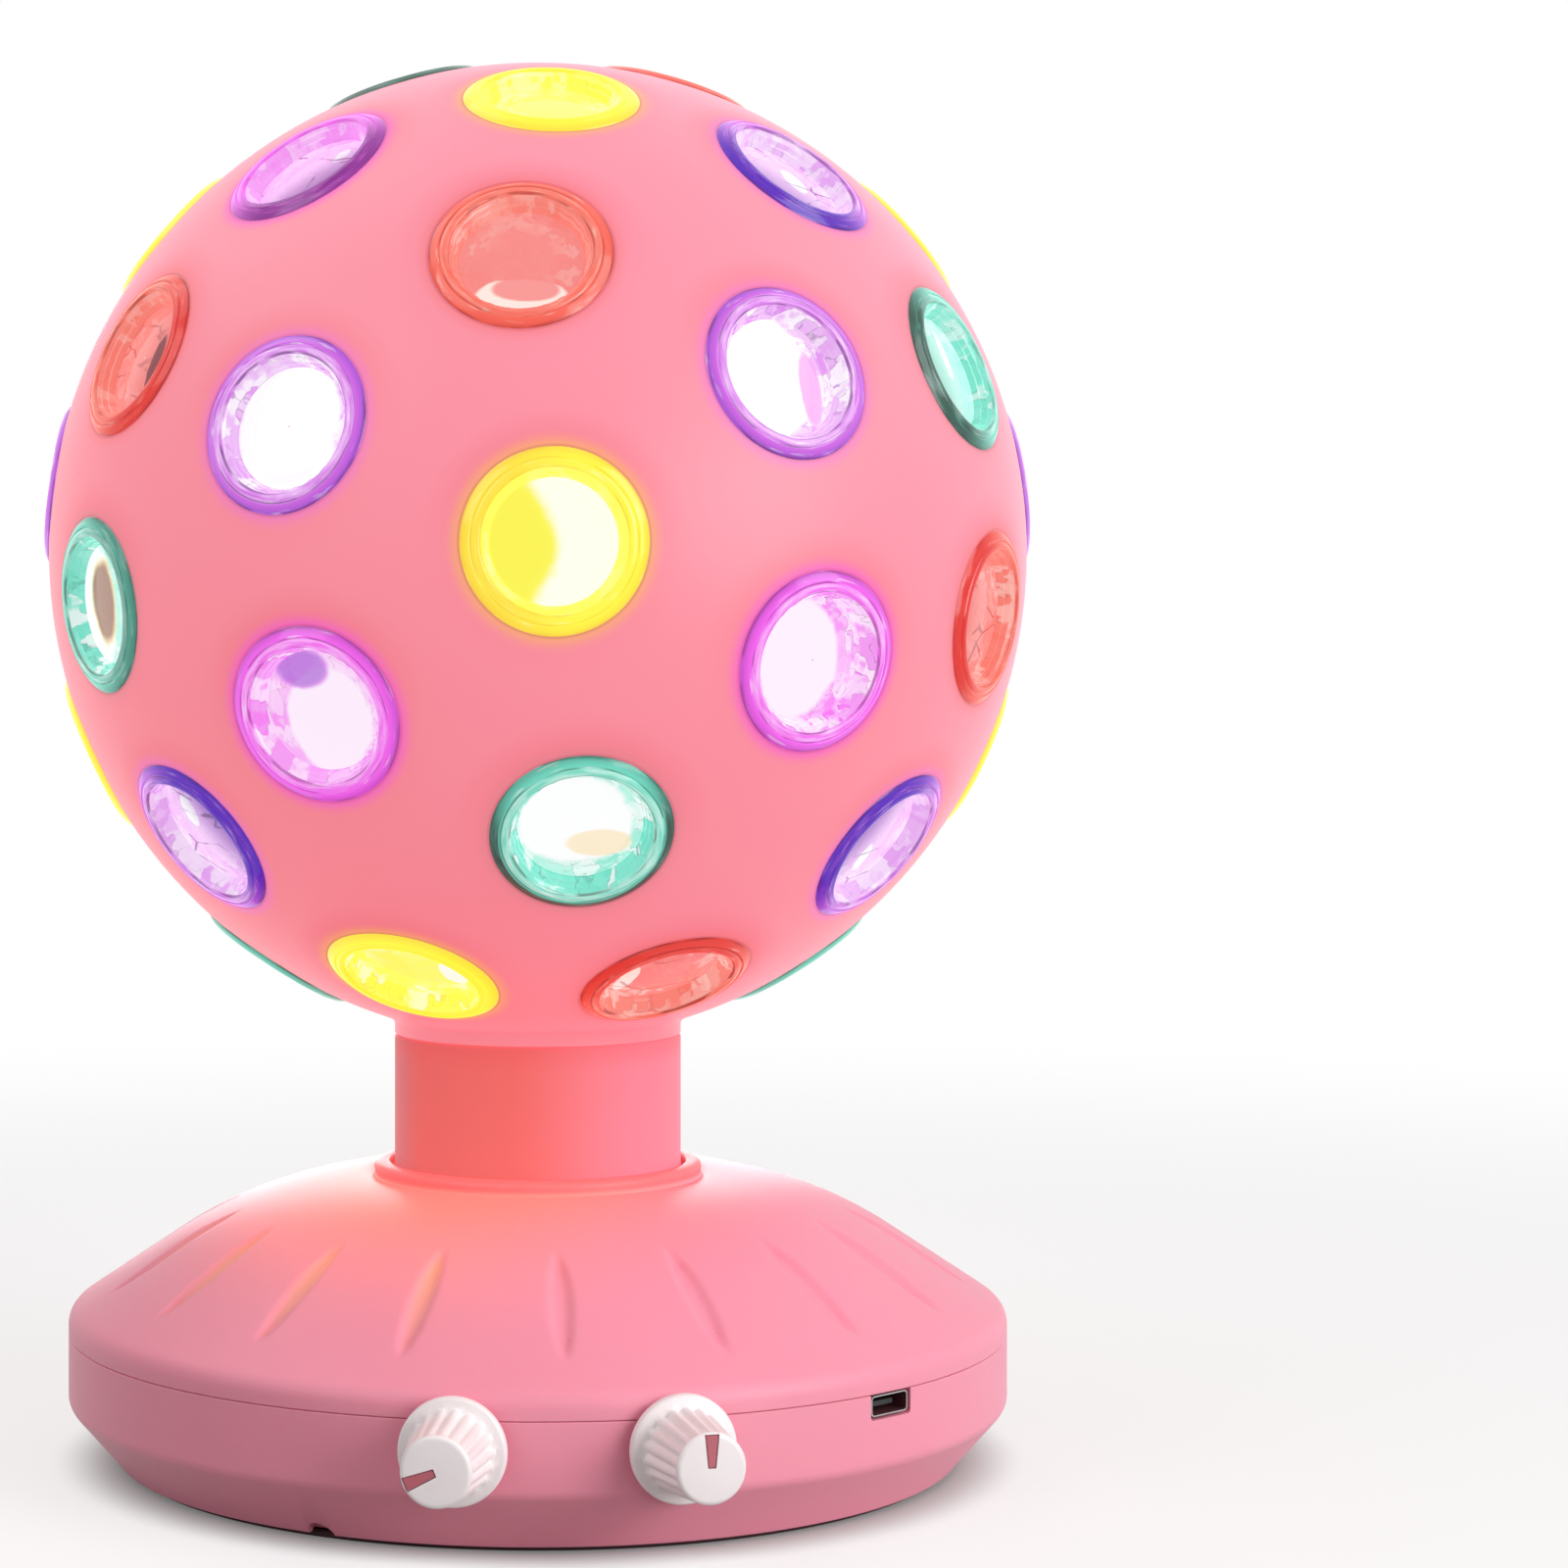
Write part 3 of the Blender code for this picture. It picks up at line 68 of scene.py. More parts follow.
# Lamps: name, place, width and power
LAMP_AIM = (0.0, 0.0, 0.1)
LAMPS = (
    ("key", (0.75, -0.8, 0.22), 0.7, 7.7),
    ("high_right", (0.85, -0.5, 0.7), 0.7, 5.1),
    ("high_left", (-0.8, -0.5, 0.7), 0.7, 3.1),
    ("top", (-0.6, 0.2, 1.0), 0.7, 1.8),
    ("back", (0.0, 1.1, 0.14), 0.5, 4.0),
)
WORLD_TINT = (0.92, 0.93, 0.96, 1.0)
WORLD_STRENGTH = 0.24
FLOOR_REACH = 6.0

# Ball
BALL_RADIUS = 75.0 * MM
BALL_WALL = 2.0 * MM
BALL_SEGMENTS = 144
BALL_ROWS = 80
INNER_ROWS = 24
BALL_REACH = BALL_RADIUS * 1.1
HALF_GAP = 0.06 * MM
COLLAR_FILLET = 1.6 * MM
FILLET_STEPS = (0.3, 0.6, 1.0)
FILLET_DROP_SHARE = 0.8

# Lenses
LENS_RADIUS = 12.9 * MM
LENS_LIP_RADIUS = 10.1 * MM
LENS_HOLE_RADIUS = 10.4 * MM
LENS_SEGMENTS = 72
LENS_RIBS = 24
LENS_RIB_DEPTH = 0.22 * MM
LENS_HOLE_SEGMENTS = 48
LENS_SHARP_ANGLE = 40.0
LENS_SPECULAR = 0.4
ROUND_SCALE = 2.6
RADIAL_SCALE = 7.0
RIM_RADIAL_SCALE = 26.0
FACE_EDGE = BALL_RADIUS - 2.7 * MM
FACE_RADIUS = 8.6 * MM
FACE_RISE = 0.65 * MM
FACE_RIPPLE = 0.04 * MM
FACE_RIPPLES = 5
FACE_STEPS = 12

# Radius and rise, in millimetres: the cup from the face's edge, the rim and back from the ball
CUP_STEPS = (
    (8.75, -0.2), (8.95, -0.2), (9.05, 0.1), (9.2, 0.8), (9.45, 0.95), (9.6, 1.7), (9.85, 1.85), (9.95, 2.3),
)
RIM_STEPS = (
    (10.05, -0.2), (10.2, -0.04), (10.4, 0.02), (10.8, -0.04), (11.15, -0.16), (11.3, -0.36), (11.45, -0.38),
    (11.65, -0.3), (12.0, -0.5), (12.5, -0.82), (12.8, -1.06), (12.9, -1.24), (12.6, -1.4),
    (10.0, -1.2), (10.0, -3.6), (0, -4.2),
)

# Neck
NECK_RADIUS = 22.1 * MM
NECK_WALL = 2.1 * MM
NECK_EDGE = 0.35 * MM
NECK_TOP_EDGE = 0.25 * MM
NECK_TOP_WALL = 2.0 * MM
NECK_TOP_GAP = 0.3 * MM
STEM_RADIUS = 19.8 * MM
STEM_BORE = 18.2 * MM
FLANGE_RADIUS = 22.7 * MM
FLANGE_THICKNESS = 1.6 * MM
NECK_SEGMENTS = 128

# Base
BASE_RADIUS = 72.0 * MM
BASE_WALL = 2.0 * MM
BEVEL_WIDTH = 7.2 * MM
BEVEL_HEIGHT = 8.1 * MM
SEAM_GAP = 0.1 * MM
SEAM_CHAMFER = 0.12 * MM
SKIRT_DROP = 0.5 * MM
SKIRT_WIDTH = 1.35 * MM
LOWER_BAND_HEIGHT = 10.2 * MM
DOME_RISE = 20.2 * MM
LIP_WIDTH = 3.4 * MM
LIP_HEIGHT = 2.0 * MM
LIP_GROOVE = 0.9 * MM
COLLAR_RUNNING_GAP = 0.65 * MM
RIM_ROUND = 1.8 * MM
CROWN_KNEE_RADIUS_SHARE = 0.358
CROWN_KNEE_DROP_SHARE = 0.04
CROWN_END_SHARE = 0.457
FLUTE_COUNT = 18
FLUTE_START_SHARE = 0.445
FLUTE_END_SHARE = 0.877
FLUTE_WIDTH = 4.4 * MM
FLUTE_DEPTH = 0.8 * MM
DOME_SEGMENTS = 720
DOME_STEPS = (24, 14)
INNER_DOME_STEPS = (6, 3)
RIM_ROUND_STEPS = 8
INNER_RADIUS_SHARE = 0.55
INNER_DROP_SHARE = 0.9
PAN_SEGMENTS = 240
HOLE_SEGMENTS = 32
CUT_START_SHARE = 0.9
CUT_END = BASE_RADIUS * 1.1
SCREW_NODES = ("case_screw_1", "case_screw_2", "case_screw_3")
SCREW_HOLE_RADIUS = 3.2 * MM
NOTCH_ANGLE = math.radians(-31.0)
NOTCH_RADIUS = 2.2 * MM
NOTCH_DROP_SHARE = 0.35
PAD_EDGE = 0.25 * MM
PAD_SEGMENTS = 160

# Knobs
KNOB_HALF_ANGLE = math.radians(12.25)
KNOB_RISE = 15.8 * MM
KNOB_START = 72.9 * MM
KNOB_LENGTH = 13.3 * MM
KNOB_SKIRT_RADIUS = 7.5 * MM
KNOB_SKIRT_THICKNESS = 1.6 * MM
KNOB_SKIRT_ROUND = 0.6 * MM
KNOB_FOOT_RADIUS = 5.9 * MM
KNOB_CAP_RADIUS = 4.9 * MM
KNOB_BORE_RADIUS = 3.15 * MM
KNOB_BORE_DEPTH = 10.0 * MM
KNOB_ROWS = 8
KNOB_RIBS = 18
KNOB_RIB_DEPTH = 0.5 * MM
KNOB_RIB_SHARPNESS = 1.6
KNOB_SEGMENTS = 216
KNOB_HOLE_RADIUS = 4.2 * MM
KNOB_HOLE_SEGMENTS = 40
POINTER_START = 0.2 * MM
POINTER_END = 4.45 * MM
POINTER_NARROW = 0.45 * MM
POINTER_WIDE = 0.9 * MM
POINTER_GAP = 0.12 * MM
POINTER_SEAT = KNOB_LENGTH - 0.7 * MM
POINTER_LOW = KNOB_LENGTH - 0.6 * MM
POINTER_HIGH = KNOB_LENGTH - 0.05 * MM
POINTER_BEVEL = 0.08 * MM
LEFT_POINTER_CLOCK = math.radians(-113.0)
RIGHT_POINTER_CLOCK = math.radians(0.0)

# Socket
SOCKET_ANGLE = math.radians(40.4)
SOCKET_WIDTH = 7.6 * MM
SOCKET_HEIGHT = 2.9 * MM
SOCKET_CORNER = 0.6 * MM
SOCKET_INNER_CORNER = 0.45 * MM
SOCKET_WALL = 0.18 * MM
SOCKET_BACK = 0.35 * MM
SOCKET_DEPTH = 5.8 * MM
SOCKET_RECESS = 0.4 * MM
SOCKET_INSIDE = 0.01 * MM
MOUTH_GAP = 0.4 * MM
MOUTH_CORNER = 0.5 * MM
MOUTH_EXTRA_HEIGHT = 1.4 * MM
MOUTH_START_SHARE = 0.95


def srgb(red, green, blue):
    """Linear colour of an 8 bit screen colour."""
    def linear(value):
        share = value / 255.0
        if share <= 0.04045:
            return share / 12.92
        return ((share + 0.055) / 1.055) ** 2.4
    return (linear(red), linear(green), linear(blue), 1.0)


# Node trees


class Field:
    """A value or colour in a tree of nodes. Arithmetic on it adds nodes."""

    def __init__(self, tree, socket):
        self.tree = tree
        self.socket = socket

    def __add__(self, other):
        return self.tree.math("ADD", self, other)

    def __sub__(self, other):
        return self.tree.math("SUBTRACT", self, other)

    def __rsub__(self, other):
        return self.tree.math("SUBTRACT", other, self)

    def __mul__(self, other):
        return self.tree.math("MULTIPLY", self, other)

    def __truediv__(self, other):
        return self.tree.math("DIVIDE", self, other)

    def clamped(self):
        return self.tree.add("ShaderNodeClamp", {"Value": self})

    def spread(self, low, high):
        """0 to 1 spread evenly over low to high."""
        return self.tree.add("ShaderNodeMapRange", {"Value": self, "To Min": low, "To Max": high})

    def step(self, low, high, start=0.0, end=1.0):
        """A smooth step from start at low to end at high."""
        inputs = {"Value": self, "From Min": low, "From Max": high, "To Min": start, "To Max": end}
        return self.tree.add("ShaderNodeMapRange", inputs, interpolation_type="SMOOTHSTEP")

    def hairline(self, middle, half):
        """1 on a thin line where the value is at its middle, 0 beside it."""
        return self.tree.math("ABSOLUTE", self - middle).step(half, half * 0.25)

    def towards(self, colour, share):
        return self.tree.mix(share, self, colour)

    def through(self, kind, inputs=None, **settings):
        """The geometry that a node makes of this one."""
        return self.tree.add(kind, {0: self, **(inputs or {})}, **settings)


class Tree:
    """Short hand for a tree of nodes."""

    def __init__(self, tree):
        self.tree = tree

    def feed(self, socket, value):
        value = getattr(value, "socket", value)
        if isinstance(value, bpy.types.NodeSocket):
            self.tree.links.new(value, socket)
        else:
            socket.default_value = value

    def node(self, kind, inputs=None, **settings):
        node = self.tree.nodes.new(kind)
        for name, value in settings.items():
            setattr(node, name, value)
        for key, value in (inputs or {}).items():
            self.feed(node.inputs[key], value)
        return node

    def add(self, kind, inputs=None, output=0, **settings):
        """Adds a node and gives one of its outputs."""
        return Field(self, self.node(kind, inputs, **settings).outputs[output])

    def math(self, operation, *values):
        return self.add("ShaderNodeMath", dict(enumerate(values)), operation=operation)

    def vector_math(self, operation, *values):
        output = "Value" if operation in ("LENGTH", "DOT_PRODUCT") else "Vector"
        return self.add("ShaderNodeVectorMath", dict(enumerate(values)), output, operation=operation)

    def mix(self, share, first, second):
        """Mix of two colours, each a field, a linear colour or an 8 bit screen colour."""
        inputs = {0: share}
        for index, colour in ((6, first), (7, second)):
            on_screen = isinstance(colour, tuple) and len(colour) == 3
            inputs[index] = srgb(*colour) if on_screen else colour
        return self.add("ShaderNodeMix", inputs, 2, data_type="RGBA")

    def split(self, vector):
        return [Field(self, part) for part in self.node("ShaderNodeSeparateXYZ", {0: vector}).outputs]

    def joined(self, *parts):
        return self.add("ShaderNodeCombineXYZ", dict(enumerate(parts)))

    def place(self):
        return self.add("ShaderNodeTexCoord", output="Object")

    def noise(self, scale, detail=2.0, vector=None, output="Fac"):
        vector = self.place() if vector is None else vector
        return self.add("ShaderNodeTexNoise", {"Scale": scale, "Detail": detail, "Vector": vector}, output)

    def bump(self, height, strength, distance):
        return self.add("ShaderNodeBump", {"Height": height, "Strength": strength, "Distance": distance})

    def cells(self, vector, output="Color", feature="F1"):
        return self.add("ShaderNodeTexVoronoi", {"Vector": vector, "Scale": 1.0}, output, feature=feature)

    def cell_edges(self, vector, low, high):
        """A thin line along the cell edges."""
        return self.cells(vector, "Distance", "DISTANCE_TO_EDGE").step(low, high)

    def warped(self, vector, scale, amount):
        """The vector pushed aside by a noise."""
        push = self.vector_math("SUBTRACT", self.noise(scale, 2.0, vector, "Color"), (0.5, 0.5, 0.5))
        return self.vector_math("ADD", vector, self.vector_math("MULTIPLY", push, (amount, amount, amount)))

    def attribute(self, name, output="Vector"):
        return self.add("ShaderNodeAttribute", output=output, attribute_name=name)

    def parts(self, name):
        """The three numbers of an attribute."""
        return self.split(self.attribute(name))

    def seen(self):
        """1 for what the camera sees straight or mirrored, else 0."""
        rays = [self.add("ShaderNodeLightPath", output=f"Is {kind} Ray") for kind in ("Camera", "Glossy")]
        return self.math("MAXIMUM", *rays)


class Coat(Tree):
    """Node tree of a new material."""

    def __init__(self, name):
        self.material = bpy.data.materials.new(name)
        self.material.use_nodes = True
        super().__init__(self.material.node_tree)

    def done(self, values):
        """Feeds the shader's sockets and gives the material."""
        for name, value in values.items():
            self.feed(self.tree.nodes["Principled BSDF"].inputs[name], value)
        return self.material

    def lit(self, colour, share, values):
        """Splits a colour between what shines out and what the studio lights."""
        dark = self.mix(share, colour, (0, 0, 0))
        return self.done({"Base Color": dark, "Emission Color": colour, "Emission Strength": share, **values})


# Shells


def ball_material():
    """Lighter and cooler towards the top right as painted light, with painted shade round the lenses and in
    the crease at each lens's seat, each lens's glow painted round it, and a fine line on the joint.
    """
    coat = Coat("lit_pink_ball")
    x, _, z = coat.split(coat.place())
    # Painted light: the top right of the ball lighter and cooler.
    rise = (z - BALL_CENTRE.z) * (0.42 / BALL_RADIUS)
    side = x * (0.3 / BALL_RADIUS)
    drift = (coat.noise(14.0) - 0.5) * 0.35
    share = (rise + side) + (drift + 0.45)
    tone = coat.mix(share.clamped(), (254, 137, 150), (254, 158, 179))
    uv = coat.add("ShaderNodeUVMap", uv_map="lens_uv")
    distance = coat.vector_math("LENGTH", uv)
    # Painted shade: a darker red round each lens, strongest above it.
    above = coat.split(uv)[1].step(-0.4, 1.1)
    lens_shade = distance.step(1.5, 1.0) * coat.math("MULTIPLY_ADD", above, 0.26, 0.06)
    tone = tone.towards((244, 96, 110), lens_shade)
    # Painted glow: each lens's colour spread on the shell round it.
    close = coat.math("POWER", distance.step(1.24, 0.98), 2.2)
    tone = tone.towards(coat.attribute("halo", "Color"), close * coat.attribute("halo", "Alpha"))
    # Painted shade in the crease where each lens sits on the shell.
    tone = tone.towards((176, 70, 92), distance.step(1.035, 1.0) * 0.35)
    across = coat.vector_math("DOT_PRODUCT", coat.place(), tuple(POLE))
    tone = tone.towards((206, 82, 100), across.hairline(0.0, 0.2 * MM) * 0.4)
    return coat.lit(tone, 0.8, {
        "Roughness": coat.noise(900.0, 3.0).spread(0.3, 0.42), "Specular IOR Level": 0.25,
        "Normal": coat.bump(coat.noise(60.0), 0.08, 0.4 * MM),
    })


def neck_material():
    """Painted light and shade: orange on its left, a greyer painted shade on its left edge, a painted shadow
    under the ball, with faint upright streaks.
    """
    coat = Coat("lit_pink_neck")
    x, _, z = coat.split(coat.place())
    # Painted light: orange on the left, pinker towards the right.
    tone = coat.mix(x.step(-6.0 * MM, 17.0 * MM), (248, 112, 108), (252, 138, 158))
    # Painted shade on the left edge.
    tone = tone.towards((196, 128, 140), x.step(-18.0 * MM, -NECK_RADIUS) * 0.45)
    # Painted shadow under the ball.
    tone = tone.towards((248, 92, 98), z.step(60.0 * MM, 64.0 * MM) * 0.35)
    streaks = coat.noise(70.0, 2.0, coat.vector_math("MULTIPLY", coat.place(), (1.0, 1.0, 0.06)))
    tone = tone.towards((255, 162, 166), streaks * 0.16)
    return coat.lit(tone, 0.6, {
        "Roughness": 0.45, "Specular IOR Level": 0.08,
        "Normal": coat.bump(coat.noise(500.0, 3.0), 0.05, 0.1 * MM),
    })


def base_material():
    """Moulded plastic with a painted glow round the lit neck, a painted highlight in the left flutes, and
    redder on the lip.
    """
    coat = Coat("pink_base_plastic")
    x, y, z = coat.split(coat.place())
    tone = coat.mix(coat.noise(20.0), (246, 150, 170), (251, 159, 181))
    # Painted glow of the lit ball on the dome round the neck, in its colour and as emission.
    squares = [coat.math("POWER", side + 12.0 * MM, 2.0) for side in (x, y)]
    across = coat.math("SQRT", squares[0] + squares[1])
    neck_glow = across.step(52.0 * MM, 16.0 * MM) * z.step(18.0 * MM, 36.0 * MM)
    tone = tone.towards((254, 134, 116), neck_glow * 0.8)
    # Painted highlight: the lamp's light caught in the left flutes.
    flute_highlight = coat.attribute("sunk", "Fac") * x.step(-4.0 * MM, -18.0 * MM) * across.step(56.0 * MM, 34.0 * MM)
    tone = tone.towards((255, 178, 132), flute_highlight * 0.55)
    tone = tone.towards((240, 104, 108), z.step(LIP_FOOT + 0.1 * MM, LIP_FOOT + 0.6 * MM) * 0.75)
    grain = coat.noise(1200.0, 3.0)
    return coat.done({
        "Base Color": tone, "Emission Color": tone, "Emission Strength": neck_glow * 0.34,
        "Roughness": grain.spread(0.34, 0.5), "Normal": coat.bump(grain, 0.06, 0.1 * MM),
        "Specular IOR Level": 0.25, "Subsurface Weight": 0.15, "Subsurface Scale": 1.0,
        "Subsurface Radius": (2.0 * MM, 0.8 * MM, 0.8 * MM),
    })


# Lens finishes: rim with painted highlights and shade, cup wall, face with its patch, and the halo, a glow
# painted on the shell

# Each colour also holds tones for its painted shade on the rim and inside, for its thin dark lines, and for
# the glow painted on the shell round it.
LENS_TINTS = {
    "lens_yellow": {
        "rim": (255, 246, 58), "shade_tone": (250, 196, 54), "band": (255, 252, 104), "cup": (255, 253, 88),
        "face": (255, 254, 112), "patch": (252, 246, 84), "core": (246, 234, 48), "side_shade": (236, 190, 40),
        "hot": (255, 255, 238), "dark_line": (232, 166, 48), "halo": (255, 186, 88), "reach": 0.65, "glow": 1.05,
    },
    "lens_red": {
        "rim": (250, 102, 84), "shade_tone": (228, 42, 36), "band": (252, 146, 130), "cup": (248, 130, 118),
        "face": (246, 136, 132), "patch": (246, 136, 134), "core": (128, 30, 42), "side_shade": (206, 56, 50),
        "hot": (255, 232, 222), "dark_line": (150, 30, 34), "halo": (250, 112, 108), "reach": 0.45, "glow": 0.92,
    },
    "lens_violet": {
        "rim": (212, 102, 230), "shade_tone": (78, 22, 186), "band": (240, 190, 248), "cup": (236, 186, 244),
        "face": (244, 200, 247), "patch": (238, 158, 228), "core": (206, 120, 212), "side_shade": (120, 46, 172),
        "hot": (255, 252, 255), "dark_line": (84, 30, 104), "halo": (246, 118, 210), "reach": 0.65, "glow": 0.9,
    },
    "lens_magenta": {
        "rim": (246, 96, 240), "shade_tone": (140, 38, 146), "band": (254, 186, 252), "cup": (244, 158, 242),
        "face": (250, 188, 248), "patch": (218, 132, 236), "core": (164, 96, 212), "side_shade": (124, 40, 150),
        "hot": (255, 238, 254), "dark_line": (134, 36, 120), "halo": (252, 98, 204), "reach": 0.85, "glow": 0.92,
    },
    "lens_green": {
        "rim": (112, 222, 198), "shade_tone": (46, 76, 66), "band": (196, 246, 232), "cup": (134, 232, 210),
        "face": (190, 247, 232), "patch": (252, 228, 180), "core": (170, 134, 116), "side_shade": (56, 128, 110),
        "hot": (254, 255, 255), "dark_line": (40, 72, 62), "halo": (214, 132, 140), "reach": 0.4, "glow": 0.75,
    },
}


def lens_place(tree, radial_scale):
    """Place in the lens plane, its distance and direction from the middle, and a seam free place round it."""
    uv = tree.add("ShaderNodeUVMap", uv_map="lens_uv")
    radius = tree.vector_math("LENGTH", uv)
    side = tree.vector_math("NORMALIZE", uv)
    u, v, _ = tree.split(side)
    around = tree.joined(u * ROUND_SCALE, v * ROUND_SCALE, radius * radial_scale)
    return uv, radius, side, tree.vector_math("ADD", around, tree.attribute("seed_place"))


def spot_reach(tree, uv, spot, warp):
    """Distance from an oval spot of the lens, which is 1 on its edge."""
    offset = tree.vector_math("SUBTRACT", uv, tree.attribute(f"{spot}_place"))
    width, height, _ = tree.parts(f"{spot}_size")
    scaled = tree.vector_math("DIVIDE", offset, tree.joined(width, height, 1.0))
    return tree.vector_math("LENGTH", scaled) + warp


def shaded_side(tree, place, start, full):
    """How far each place of a lens lies on its darker side, where shade is painted."""
    dark_x, dark_y, strength = tree.parts("dark_side")
    facing = tree.vector_math("DOT_PRODUCT", place, tree.joined(dark_x, dark_y, 0.0))
    return facing.step(start, full) * strength


def rim_material(slot):
    """Glassy rim: a pale band inside and streaks that run round, both painted highlights, thin dark outlines,
    the outermost painted shade where the rim meets the shell, and painted shade on one side.
    """
    tint = LENS_TINTS[slot]
    coat = Coat(f"{slot}_rim")
    _, radius, side, round_place = lens_place(coat, RIM_RADIAL_SCALE)
    outline = coat.parts("line_look")[2]
    streak = coat.noise(1.0, 3.0, round_place)
    # Painted highlight: a pale band inside, broken by the streaks.
    band = radius.step(0.9, 0.85) * streak.step(0.35, 0.6, 0.15, 0.85)
    tone = coat.mix(band * outline, tint["rim"], tint["band"])
    # Painted glints.
    tone = tone.towards(tint["hot"], streak.step(0.6, 0.72) * outline * 0.5)
    # Painted shade darkening towards the outer edge.
    tone = tone.towards(tint["shade_tone"], radius.step(0.89, 0.985) * 0.36)
    # Painted shade on the side towards the middle of the ball's half; in ring-only looks only the outermost
    # ring gets it, on the far side.
    ring_only = coat.parts("hot_size")[2]
    start = coat.math("MULTIPLY_ADD", ring_only, -0.45, -0.35)
    full = coat.math("MULTIPLY_ADD", ring_only, -0.7, 0.7)
    turned = shaded_side(coat, side, start, full) * (1.0 - radius.step(0.92, 0.88) * ring_only)
    tone = tone.towards(tint["shade_tone"], turned * streak.step(0.75, 0.45, 0.7, 1.0))
    # Dark lines at the band's edge and the lip, and at the outer edge a painted shade where the rim meets the
    # shell.
    line = coat.math("MAXIMUM", radius.step(0.955, 0.99), radius.hairline(0.88, 0.014))
    line = coat.math("MAXIMUM", line, radius.hairline(LENS_LIP_RADIUS / LENS_RADIUS, 0.018))
    line = line * coat.noise(0.9, 1.0, round_place).step(0.42, 0.58, 0.08, 0.75)
    tone = tone.towards(tint["dark_line"], line * outline)
    return coat.lit(tone, tint["glow"] * 0.9, {
        "Roughness": 0.16, "Specular IOR Level": LENS_SPECULAR,
        "Normal": coat.bump(coat.noise(300.0), 0.2, 0.2 * MM),
    })


def faceted(tree, tone, tint, round_place, reach):
    """Lays bright, tinted and lined facets over a tone."""
    amount = tree.parts("line_look")[0] * reach
    bent = tree.warped(round_place, 1.1, 1.5)
    chance = tree.split(tree.cells(bent))[0]
    patchy = tree.noise(1.4, 2.0, round_place)
    bright = chance.step(0.45, 0.65) * patchy.step(0.36, 0.52)
    tinted = chance.step(0.4, 0.2) * patchy.step(0.62, 0.46)
    tone = tree.mix(bright * amount, tone, tint["hot"])
    tone = tone.towards(tint["rim"], tinted * amount * 0.8)
    broken = patchy.step(0.44, 0.58) * (amount * 0.45)
    return tone.towards(tint["dark_line"], tree.cell_edges(bent, 0.05, 0.01) * broken)


def painted_side_shade(tree, tone, tint, uv):
    """Paints shade on the darker side of the inside of a lens."""
    side_shade = tree.parts("patch_look")[2]
    return tone.towards(tint["side_shade"], side_shade * shaded_side(tree, uv, -0.2, 0.5))


def cup_material(slot):
    """Ribbed wall between rim and face: each facet catches the light its own way, with painted shade on its
    darker side.
    """
    tint = LENS_TINTS[slot]
    coat = Coat(f"{slot}_cup")
    uv, _, _, round_place = lens_place(coat, RADIAL_SCALE)
    tone = painted_side_shade(coat, faceted(coat, tint["cup"], tint, round_place, 0.9), tint, uv)
    share = 0.2 + tint["glow"] * 0.75
    return coat.lit(tone, share, {"Roughness": 0.12, "Specular IOR Level": LENS_SPECULAR})


def face_material(slot):
    """Bright lens: a hot area and a tinted patch at their own places, facets towards the wall, and painted
    shade on its darker side.
    """
    tint = LENS_TINTS[slot]
    coat = Coat(f"{slot}_face")
    uv, radius, _, round_place = lens_place(coat, RADIAL_SCALE)
    rough_edge = (coat.noise(260.0, 3.0) - 0.5) * 0.3
    tone = faceted(coat, tint["face"], tint, round_place, radius.step(0.28, 0.55, 0.1, 0.85))
    ripple = coat.math("SINE", radius * 62.0)
    tone = tone.towards(tint["cup"], coat.math("MULTIPLY_ADD", ripple, 0.06, 0.06))
    tone = tone.towards(tint["hot"], spot_reach(coat, uv, "hot", rough_edge).step(1.06, 0.92))
    tone = painted_side_shade(coat, tone, tint, uv)
    crack_place = coat.vector_math("MULTIPLY", uv, (1.2, 2.4, 0.0))
    crack_place = coat.vector_math("ADD", crack_place, coat.attribute("seed_place"))
    crack = coat.cell_edges(crack_place, 0.035, 0.008) * coat.noise(1.6, 2.0, crack_place).step(0.46, 0.58)
    tone = tone.towards(tint["dark_line"], crack * coat.parts("line_look")[1])
    strength, core, _ = coat.parts("patch_look")
    reach = spot_reach(coat, uv, "patch", rough_edge * 0.8)
    patch = coat.mix(reach.step(1.0, 0.75) * core, tint["patch"], tint["core"])
    tone = tone.towards(patch, reach.step(1.1, 0.88) * strength)
    return coat.lit(tone, 0.92, {"Roughness": 0.1, "Specular IOR Level": LENS_SPECULAR})


# Other finishes


def knob_material():
    coat = Coat("white_knob_plastic")
    return coat.done({
        "Base Color": coat.mix(coat.noise(120.0), (244, 232, 233), (254, 247, 247)), "Roughness": 0.38,
        "Normal": coat.bump(coat.noise(1500.0, 3.0), 0.08, 0.08 * MM),
    })


def pointer_material():
    coat = Coat("pointer_paint")
    return coat.done({
        "Base Color": coat.mix(coat.noise(400.0), (176, 92, 104), (196, 104, 116)), "Roughness": 0.5,
    })


def grained_material(name, dark, light, roughness, metallic=0.0, scale=600.0, bump=0.1):
    """Moulded, cast or plated stuff with a fine grain in colour and surface."""
    coat = Coat(name)
    grain = coat.noise(scale, 4.0)
    return coat.done({
        "Base Color": coat.mix(grain, dark, light), "Metallic": metallic,
        "Roughness": grain.spread(roughness * 0.85, min(1.0, roughness * 1.15)),
        "Normal": coat.bump(grain, bump, 0.1 * MM),
    })


def board_material():
    """Green solder mask with paler tracks."""
    coat = Coat("circuit_board")
    inputs = {"Vector": coat.place(), "Scale": 240.0, "Mortar Size": 0.06}
    tracks = coat.add("ShaderNodeTexBrick", inputs, "Fac")
    return coat.done({"Base Color": coat.mix(tracks, (22, 92, 50), (64, 140, 84)), "Roughness": 0.35})


def diffuser_material():
    coat = Coat("frosted_diffuser")
    tone = coat.mix(coat.noise(300.0), (250, 244, 232), (255, 252, 246))
    return coat.lit(tone, 0.9, {"Roughness": 0.5})


